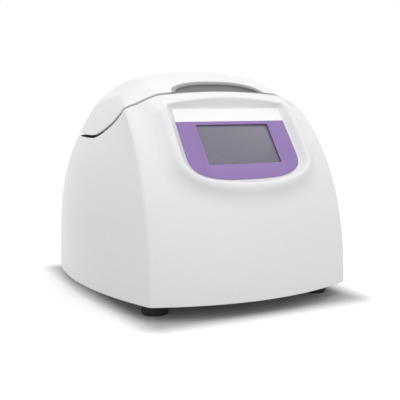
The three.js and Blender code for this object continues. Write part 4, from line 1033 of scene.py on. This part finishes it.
# Plain position numbers on the rotor's slope, one below each tube
def buildNumbers():
    r = rotor
    (footRadius, footRise), (topRadius, topRise) = r["outline"][4:6]
    steep = (topRise - footRise) / (footRadius - topRadius)
    where = moveTo(onSpindle(footRise + (footRadius - r["numberRadius"]) * steep))
    tilt = Matrix.Rotation(math.atan(steep), 4, "X")
    labels = []
    for i in range(r["tubes"]):
        deselectAll()
        bpy.ops.object.text_add(location=(0, 0, 0))
        label = bpy.context.object
        label.data.body = str(i + 1)
        label.data.size = r["numberSize"] * mm
        label.data.align_x, label.data.align_y = "CENTER", "CENTER"
        label.data.extrude = 0.1 * mm
        bpy.ops.object.convert(target="MESH")
        angle = 2 * math.pi * (i + 0.5) / r["tubes"] + math.pi
        out = moveTo((r["numberRadius"] * math.cos(angle), r["numberRadius"] * math.sin(angle), 0))
        label.data.transform(where @ out @ Matrix.Rotation(angle + math.pi / 2, 4, "Z") @ tilt)
        labels.append(label)
    numbers = gather(labels)
    numbers.name = "rotorNumbers"
    addDetail(numbers, "rotor_head", "black_plastic")


# Its rings are (radius, rise, share of the flutes' depth)
nut = {"flutes": 12, "depth": 0.5, "hub": 128.0,
       "rings": [(3.8, 12, 0), (3.8, 0.3, 0), (8, 0.3, 0.3), (9, 1.2, 1), (9, 11.6, 1), (8.7, 12.8, 1),
                 (7.6, 13.7, 0.5), (6, 14, 0), (3.2, 14, 0), (2.6, 13.4, 0)]}


def buildNut():
    angle = np.arange(144) / 144 * 2 * math.pi
    knurl = 0.5 - 0.5 * np.cos(nut["flutes"] * angle)
    rings = []
    for radius, rise, share in nut["rings"]:
        r = radius - nut["depth"] * share * knurl
        rings.append(toWorld(r * np.sin(angle), place["chamberBack"] + r * np.cos(angle), nut["hub"] + rise))
    carry(loftRings("rotorNut", rings), "rotor_nut", "black_plastic", shade=35)


buildRotor()
buildSleeves()
buildNumbers()
buildNut()
print("rotor made")

# Drive below the chamber
drive = {"radius": 46.0, "waist": 1.5, "band": (31.0, 60.0, 0.4), "foot": 23.3, "top": 68.0, "plate": 58.0,
         "plateRise": 20.0, "plateThickness": 3.0, "isolatorCircle": 49.0,
         "neck": [(19.0, 68.0), (19.0, 76.0), (5.3, 76.0), (5.3, 36), (0, 36)],
         "isolator": [(0, 4.3), (9.0, 4.3), (9.0, 8), (7.0, 12), (9.0, 16), (9.0, 19.7), (0, 19.7)],
         "screw": [(0, 22.6), (4, 22.6), (4, 25.6), (2.2, 25.6), (2.0, 24.2), (0, 24.2)]}


def buildDrive():
    d = drive
    radius, waist, low = d["radius"], d["radius"] - d["waist"], d["plateRise"]
    bandFoot, bandTop, ramp = d["band"]
    motor = [(0, d["foot"]), (radius, d["foot"]), (radius, bandFoot), (waist, bandFoot + ramp), (waist, bandTop),
             (radius, bandTop + ramp), (radius, d["top"]), *d["neck"]]
    carry(spinOutline("driveMotor", roundOutline(motor, 1.2, 3), onSpindle()), "drive_motor", "motor", shade=30)
    plate = [(0, low), (d["plate"], low), (d["plate"], low + d["plateThickness"]), (0, low + d["plateThickness"])]
    carry(spinOutline("motorPlate", roundOutline(plate, 0.6, 3), onSpindle()), "motor_plate", "zinc_sheet", shade=30)
    for i in range(3):
        angle = 2 * math.pi * i / 3
        where = spot(d["isolatorCircle"] * math.sin(angle),
                     place["chamberBack"] - d["isolatorCircle"] * math.cos(angle), 0)
        rubber = spinOutline(f"motorIsolator{i + 1}", roundOutline(d["isolator"], 1.4, 4), where, 48)
        carry(rubber, f"motor_isolator_{i + 1}", "rubber", shade=40)
        screw = spinOutline(f"isolatorScrew{i + 1}", roundOutline(d["screw"], 0.5, 2), where, 24)
        addDetail(screw, "motor_plate", "steel", 40)
    carryEased(["shaft_boot"], "rubber", 0.4)
    carryEased(["spindle"], "steel", 0.4, finish="spunSteel")


buildDrive()
print("drive made")

# Lid furniture
liner = {"rise": 173.6, "thickness": 2.5, "foot": 101.8, "top": (86.3, 214.0), "fillet": 7.0, "fit": 0.3,
         "half": 106.0, "rear": 272.0, "hub": 0.6, "dish": 60.0, "dishRise": 4.0, "columns": 220, "rows": 44}


def buildLiner():
    n = liner

    def heightAt(x, back):
        reach = np.hypot(x, back - place["chamberBack"])
        dish = n["dishRise"] * np.clip(1 - (reach / n["dish"]) ** 4, 0, 1)
        return slopedRise(n, n["rise"] + n["thickness"], n["foot"] + n["thickness"], back) + dish

    def edge(x, back, rise):
        return np.maximum(
            np.maximum(caseDistance(x, back, heightAt(x, back)) + shell["wall"] + n["fit"], np.abs(x) - n["half"]),
            np.maximum(back - n["rear"], n["top"][0] + n["thickness"] - back))
    obj = sheetMesh("lidLiner", sheetRings(heightAt, edge, n["hub"], n), wrap=False)
    closeHole(obj)
    carry(obj, "lid_liner", "liner", shade=45)


buildLiner()
for side in ("left", "right"):
    carryEased([f"lock_strike_{side}"], "steel", 0.4)
    carryEased([f"lid_lock_{side}"], "black_plastic", 0.8)
    carryEased([f"lock_bolt_{side}"], "steel", 0.5)
print("lid furniture made")

# Hinges and their springs
hinge = {"x": 45.0, "behind": 260.0, "screwSpan": 11.0, "leafRise": {"housing": 176.0, "lid": 203.0}}
spring = {"coil": 3.1, "wire": 0.6, "turns": 5, "pitch": 1.7, "leg": 9.0, "firstTurn": -8.8,
          "lean": math.radians(32.1), "steps": 30, "sides": 12}


# A cross-slotted screw head laid on the first face that a ray along way meets
def screwOn(name, obj, start, way, node, radius=2.6, height=1.3):
    _, where, normal, _ = obj.ray_cast([c * mm for c in start], way)
    outline = [(0, -0.3), (radius, -0.3), (radius, height * 0.5), (radius * 0.6, height), (0, height)]
    head = spinOutline(name, roundOutline(outline, 0.4, 3), (0, 0, 0), 28)
    long, short = radius * 1.1, radius * 0.28
    cutAway(head, addBox("slotTool", (long, short, height), (0, 0, height * 1.1)),
            addBox("crossTool", (short, long, height), (0, 0, height * 1.1)))
    head.data.transform(Matrix.Translation(where) @ normal.to_track_quat("Z", "Y").to_matrix().to_4x4())
    addDetail(head, node, "steel", 40)


# Rings of a round wire along a path
def wireRings(path, radius, sides):
    forward = np.gradient(path, axis=0)
    forward = forward / np.linalg.norm(forward, axis=1, keepdims=True)
    across = np.array([1.0, 0.0, 0.0]) - forward * forward[:, :1]
    across = across / np.linalg.norm(across, axis=1, keepdims=True)
    angle = 2 * math.pi * np.arange(sides)[:, None] / sides
    upward = np.cross(forward, across)
    return path[:, None] + radius * (across[:, None] * np.cos(angle) + upward[:, None] * np.sin(angle))


# A round wire coiled along the hinge pin, with a straight leg at each end
def buildSpring(side, sign):
    s = spring
    low, high = (np.array(corner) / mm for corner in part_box(f"hinge_pin_{side}"))
    axis = np.array([sign * hinge["x"] + s["firstTurn"], *((low + high) / 2)[1:]])
    along = np.array([0.0, -math.sin(s["lean"]), math.cos(s["lean"])])
    outward = np.array([0.0, math.cos(s["lean"]), math.sin(s["lean"])])
    turn = np.linspace(0, s["turns"], s["turns"] * s["steps"] + 1)[:, None]
    angle = 2 * math.pi * turn
    coil = axis + [s["pitch"], 0, 0] * turn + s["coil"] * (np.sin(angle) * along + np.cos(angle) * outward)
    path = np.concatenate([[coil[0] - s["leg"] * along], coil, [coil[-1] + s["leg"] * along]])
    wire = loftRings("hingeSpring" + side.title(), wireRings(path, s["wire"], s["sides"]) * mm)
    finishPiece(wire, None, "steel", [f"hinge_spring_{side}"], shade=50)
    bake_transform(wire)


sides = {"left": -1, "right": 1}
for side, sign in sides.items():
    for leaf, rise in hinge["leafRise"].items():
        node = f"hinge_leaf_{leaf}_{side}"
        plate = easedCopy(node, 0.8, 35, 3)
        for offset in (-hinge["screwSpan"], hinge["screwSpan"]):
            screwOn(f"{plate.name}Screw", plate, (sign * hinge["x"] + offset, hinge["behind"], rise), (0, -1, 0), node)
        carry(plate, node, "white_shell")
    carryEased([f"hinge_pin_{side}"], "steel", 0.3)
for side, sign in sides.items():
    buildSpring(side, sign)
print("hinges made")


# Rear pocket: inlet, fuse drawer, switch, fan and guard
def roundedPlate(name, size, centre, corner, bevel=0.4):
    plate = addBox(name, size, centre)
    bevelChosen(plate, lambda a, b: abs(a.y - b.y) > 0.5 * size[1] * mm, corner, 6)
    bevelEdges(plate, bevel, 2, 50)
    return plate


# Sizes are (width, depth, height)
inlet = {"lift": 0.3, "flange": 6.0, "flangeDepth": 2.0, "flangeCorner": 2.5, "bodyDepth": 20.0, "bodyFit": 0.4,
         "rim": (26, 2.2, 19), "socket": (22, 36, 15), "socketBack": 5, "chamfer": 4.5, "chamferRise": 4.0,
         "pin": (2, 11, 4), "pinSpan": 6.5, "pinBack": -7.5, "pinRises": {-1: -1.2, 0: 1.6, 1: -1.2}}
drawer = {"fit": 0.2, "face": 2.4, "corner": 1.6, "notch": 4.5, "notchWidth": 9.0, "notchOut": 1.6, "notchDrop": 2.5}


def buildInlet():
    n = inlet
    x, rise, width, height = rear["inlet"]
    out = pocket["floor"] + n["lift"]
    body = roundedPlate("powerInlet", (width + n["flange"], n["flangeDepth"], height + n["flange"]),
                        spot(x, out + n["flangeDepth"] / 2, rise), n["flangeCorner"])
    inside = addBox("inletBody", (width - n["bodyFit"], n["bodyDepth"], height - n["bodyFit"]),
                    spot(x, out + 0.1 - n["bodyDepth"] / 2, rise))
    rim = roundedPlate("inletRim", n["rim"], spot(x, out + n["flangeDepth"], rise), n["flangeCorner"], 0.3)
    joinSolids(body, inside, rim)
    socket = addBox("socketTool", n["socket"], spot(x, out + n["socketBack"], rise))
    foot = (rise + place["footHeight"] - n["chamferRise"]) * mm
    bevelChosen(socket, lambda a, b: abs(a.y - b.y) > 10 * mm and a.z < foot, n["chamfer"], 1)
    cutAway(body, socket)
    bevelEdges(body, 0.3, 2, 50)
    carry(body, "power_inlet", "black_plastic", shade=40)
    pins = []
    for i, pinRise in n["pinRises"].items():
        pins.append(addBox("inletPins", n["pin"], spot(x + i * n["pinSpan"], out + n["pinBack"], rise + pinRise)))
        bevelEdges(pins[-1], 0.5, 2, 30)
    addDetail(gather(pins), "power_inlet", "steel", 40)


def buildDrawer():
    d = drawer
    carryEased(["fuse_holder"], "black_plastic", 0.2)
    low, high = (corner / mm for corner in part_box("fuse_drawer"))
    middle = (low + high) / 2
    body = easedCopy("fuse_drawer", 0)
    joinSolids(body, roundedPlate("drawerFace", (high.x - low.x - d["fit"], d["face"], high.z - low.z - d["fit"]),
                                  (middle.x, high.y - d["face"] / 2, middle.z), d["corner"]))
    cutAway(body, addRod("notchTool", d["notch"], d["notchWidth"],
                         (middle.x, high.y + d["notchOut"], middle.z - d["notchDrop"]), "X", 32))
    bevelEdges(body, 0.25, 2, 50)
    carry(body, "fuse_drawer", "black_plastic", shade=40)


fan = {"x": 34.0, "rise": 42.0, "hub": 11.0, "blades": 7, "foot": 288.5, "depth": 11.5, "axle": 2.3, "tip": 24.6,
       "steps": 8, "pitch": (52.0, 30.0), "chord": (10.5, 15.0), "thick": 0.55, "camber": 1.3, "sweep": 0.12,
       "clearance": 1.1, "edgeSwell": 0.04, "bladeRings": 9,
       "hubGap": 0.6, "rings": (5.0, 9.6, 14.2, 18.8, 23.4), "wire": 0.72, "spoke": 22.5,
       "spokeMiddle": 14.25, "guard": 307.4}


def turnedToY(obj, where):
    obj.data.transform(moveTo(where) @ Matrix.Rotation(-math.pi / 2, 4, "X"))


# One blade, lofted from the hub out, each ring a thin cambered section
def fanBlade(index):
    f = fan
    t = np.linspace(-0.5, 0.5, f["steps"] + 1)
    t, side = np.concatenate([t, t[::-1]]), np.repeat([f["thick"], -f["thick"]], len(t))
    swell = 1 - (2 * t) ** 2
    away = f["camber"] * swell + side * np.sqrt(np.maximum(swell, f["edgeSwell"]))
    rings = []
    for share in np.linspace(0, 1, f["bladeRings"]):
        radius = mixTo(f["hub"] - 1.0, f["tip"], share)
        pitch = math.radians(mixTo(*f["pitch"], share))
        along = t * min(mixTo(*f["chord"], share), (f["depth"] - 2 * f["clearance"]) / math.sin(pitch))
        across = along * math.cos(pitch) + away * math.sin(pitch)
        up = along * math.sin(pitch) - away * math.cos(pitch)
        angle = across / radius + 2 * math.pi * index / f["blades"] + f["sweep"] * share
        rings.append(np.stack([radius * np.cos(angle), radius * np.sin(angle), f["depth"] / 2 + up], -1) * mm)
    return loftRings("fanBlade", rings)


def buildFan():
    f = fan
    foot, top = f["hubGap"], f["depth"] - f["hubGap"]
    hub = spinOutline("fanImpeller", roundOutline([
        (0, foot), (f["hub"] - 1.5, foot), (f["hub"], foot), (f["hub"], top), (0, top)], 1.2, 4), (0, 0, 0), 64)
    cutAway(hub, addRod("axleTool", f["axle"], 18, (0, 0, 0), "Z", 32))
    gather([hub] + [fanBlade(i) for i in range(f["blades"])])
    turnedToY(hub, spot(f["x"], f["foot"], f["rise"]))
    carry(hub, "fan_impeller", "black_plastic", shade=40)
    carryEased(["fan_frame"], "black_plastic", 0.3)


def buildGuard():
    f = fan
    wires = []
    for radius in f["rings"]:
        deselectAll()
        ops.primitive_torus_add(major_radius=radius * mm, minor_radius=f["wire"] * mm,
                                major_segments=96, minor_segments=12)
        wires.append(settle(bpy.context.object))
    for i in range(4):
        spoke = addRod("spoke", f["wire"], f["spoke"], (f["spokeMiddle"], 0, -0.9), "X", 12)
        spoke.data.transform(Matrix.Rotation(math.pi / 4 + i * math.pi / 2, 4, "Z"))
        wires.append(spoke)
    guard = gather(wires)
    guard.name = "fanGuard"
    turnedToY(guard, spot(f["x"], f["guard"], f["rise"]))
    carry(guard, "fan_guard", "steel", shade=50)


buildInlet()
buildDrawer()
carryEased(["switch_frame"], "black_plastic", 0.6, segments=3)
carryEased(["power_rocker"], "black_plastic", 0.5, segments=3)
buildFan()
buildGuard()
print("rear pocket made")

# Pan and power electronics
pan = {"vent": (26, 3, 8), "vents": 9, "ventX": 58, "ventBack": 130, "ventStep": 9, "ventRise": 3,
       "screwFrom": -40, "screw": (3.0, 1.8),
       "screws": [(-138, 155), (138, 155), (-60, 8), (60, 8), (-70, 308), (70, 308)]}
supply = {"slot": (34, 2.6, 3), "slots": 11, "firstSlot": 14.0, "slotStep": 6.8}
parts = {"boardTop": 13.6,
         "cans": [(74, -20, 6, 14), (74, -4, 6, 14), (110, 10, 4, 9), (110, 22, 4, 9), (74, 55, 5, 12)],
         "chips": [(108, -22, 12, 18, 9), (108, 50, 14, 14, 3), (74, 30, 10, 16, 8)]}


def buildPan():
    sheet = easedCopy("base_pan", 0)
    for side in (-1, 1):
        for row in range(pan["vents"]):
            back = pan["ventBack"] + row * pan["ventStep"]
            vent = addBox("ventTool", pan["vent"], spot(side * pan["ventX"], back, pan["ventRise"]))
            bevelEdges(vent, 1.4, 4, 30)
            cutAway(sheet, vent)
    bevelEdges(sheet, 0.3, 2, 50)
    shadeByAngle(sheet, 30)
    for x, back in pan["screws"]:
        screwOn("panScrew", sheet, spot(x, back, pan["screwFrom"]), (0, 0, 1), "base_pan", *pan["screw"])
    carry(sheet, "base_pan", "zinc_sheet")


def buildSupply():
    s = supply
    case = easedCopy("power_supply", 0.8)
    low, high = (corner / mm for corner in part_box("power_supply"))
    for i in range(s["slots"]):
        y = low.y + s["firstSlot"] + i * s["slotStep"]
        cutAway(case, addBox("slotTool", s["slot"], ((low.x + high.x) / 2, y, high.z)))
    carry(case, "power_supply", "zinc_sheet", shade=30)


def buildBoards():
    carryEased(["drive_board"], "circuit_board", 0.2)
    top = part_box("drive_board")[0].z / mm + parts["boardTop"]
    pieces = []
    for x, y, radius, height in parts["cans"]:
        outline = roundOutline([(0, 0), (radius, 0), (radius, height), (0, height)], 0.8, 3)
        pieces.append(spinOutline("capacitors", outline, (x, y, top), 32))
    for x, y, width, depth, height in parts["chips"]:
        pieces.append(addBox("chips", (width, depth, height), (x, y, top + height / 2)))
        bevelEdges(pieces[-1], 0.4)
    addDetail(gather(pieces), "drive_board", "black_plastic", 40)
    carryEased(["control_board"], "circuit_board", 0.2)
    carryEased(["display_module"], "black_plastic", 0.4)


buildPan()
buildSupply()
buildBoards()
print("electronics made")

# The one CAD node that stays gets a finish of its own
for slot in frame["nodes"]["fuse"].material_slots:
    slot.material = finishes["steel"]

# Camera, floor and light
camera = {"place": (-452.1, -870.4, 235.4), "turn": 28.0, "down": 7.506, "lens": 69.08, "sensor": 36}
deselectAll()
bpy.ops.object.camera_add(location=[c * mm for c in camera["place"]],
                          rotation=(math.radians(90 - camera["down"]), 0, math.radians(-camera["turn"])))
scene.camera = bpy.context.object
scene.camera.data.lens = camera["lens"]
scene.camera.data.sensor_width = camera["sensor"]
scene.view_settings.view_transform = "Standard"

# Suns are (azimuth they shine from, elevation, power, spread)
# The floor's shade centre, half size and reach mark a rectangle round the footprint where the glow is withheld, a
# painted shade patch
studio = {"floorSize": 30.0, "floorTone": 0.5, "floorRoughness": 0.9, "worldLight": 0.72, "glow": 0.54,
          "paintedShadeCentre": (0.0, -0.005, 0.0), "paintedShadeHalf": (0.124, 0.158, 0.0), "paintedShadeReach": 0.04,
          "suns": {"topLight": (0, 86, 1.0, 100), "frontLight": (-4, 14, 0.31, 60)}}


# 1 for rays that should see a white backdrop, 0 for light that falls on the object
def backdropRays(tree):
    paths = tree.nodes.new("ShaderNodeLightPath").outputs
    seen, glossy, through = (paths[f"Is {kind} Ray"] for kind in ("Camera", "Glossy", "Transmission"))
    return calculate(tree, "MAXIMUM", calculate(tree, "MAXIMUM", seen, glossy), through)


def whiteBackdrop():
    world = bpy.data.worlds.new("studioWorld")
    scene.world = world
    world.use_nodes = True
    tree = world.node_tree
    strength = addNode(tree, "MapRange", {"Value": backdropRays(tree), "To Min": studio["worldLight"], "To Max": 1.0})
    tree.links.new(strength, tree.nodes["Background"].inputs["Strength"])
    tree.nodes["Background"].inputs["Color"].default_value = (1, 1, 1, 1)


def addSun(name, azimuth, elevation, power, spread):
    deselectAll()
    bpy.ops.object.light_add(type="SUN", location=(0, 0, 2))
    lamp = bpy.context.object
    lamp.name = name
    az, el = math.radians(azimuth), math.radians(elevation)
    toward = Vector((-math.sin(az) * math.cos(el), math.cos(az) * math.cos(el), -math.sin(el)))
    lamp.rotation_euler = toward.to_track_quat("-Z", "Y").to_euler()
    lamp.data.energy = power
    lamp.data.angle = math.radians(spread)


# The floor turns white a short way out from under the object, and keeps its shadow beneath it. In a rectangle round
# the object's footprint the white glow is withheld, which paints shade there on top of the real shadow
def paleFloor():
    deselectAll()
    ops.primitive_plane_add(size=studio["floorSize"], location=(0, 0, 0))
    floor = bpy.context.object
    floor.name = "studioFloor"
    material = bpy.data.materials.new("floorPaper")
    material.use_nodes = True
    tree = material.node_tree
    shader = tree.nodes["Principled BSDF"].inputs
    shader["Base Color"].default_value = (*[studio["floorTone"]] * 3, 1)
    shader["Roughness"].default_value = studio["floorRoughness"]
    shader["Emission Color"].default_value = (1, 1, 1, 1)
    outward = addNode(tree, "TexCoord", {}, output="Object")
    # Painted shade: the glow is zero inside this rectangle round the footprint and fades in over its reach
    for operation, value in (("SUBTRACT", studio["paintedShadeCentre"]), ("ABSOLUTE", (0, 0, 0)),
                             ("SUBTRACT", studio["paintedShadeHalf"]), ("MAXIMUM", (0, 0, 0))):
        outward = addNode(tree, "VectorMath", {0: outward, 1: value}, operation)
    reach = addNode(tree, "VectorMath", {0: outward}, "LENGTH", "Value")
    glow = addNode(tree, "MapRange", {"Value": reach, "From Max": studio["paintedShadeReach"], "To Max": studio["glow"]})
    glow.node.interpolation_type = "SMOOTHSTEP"
    tree.links.new(calculate(tree, "MULTIPLY", glow, backdropRays(tree)), shader["Emission Strength"])
    floor.data.materials.append(material)


whiteBackdrop()
paleFloor()
for name, values in studio["suns"].items():
    addSun(name, *values)
print("studio made")
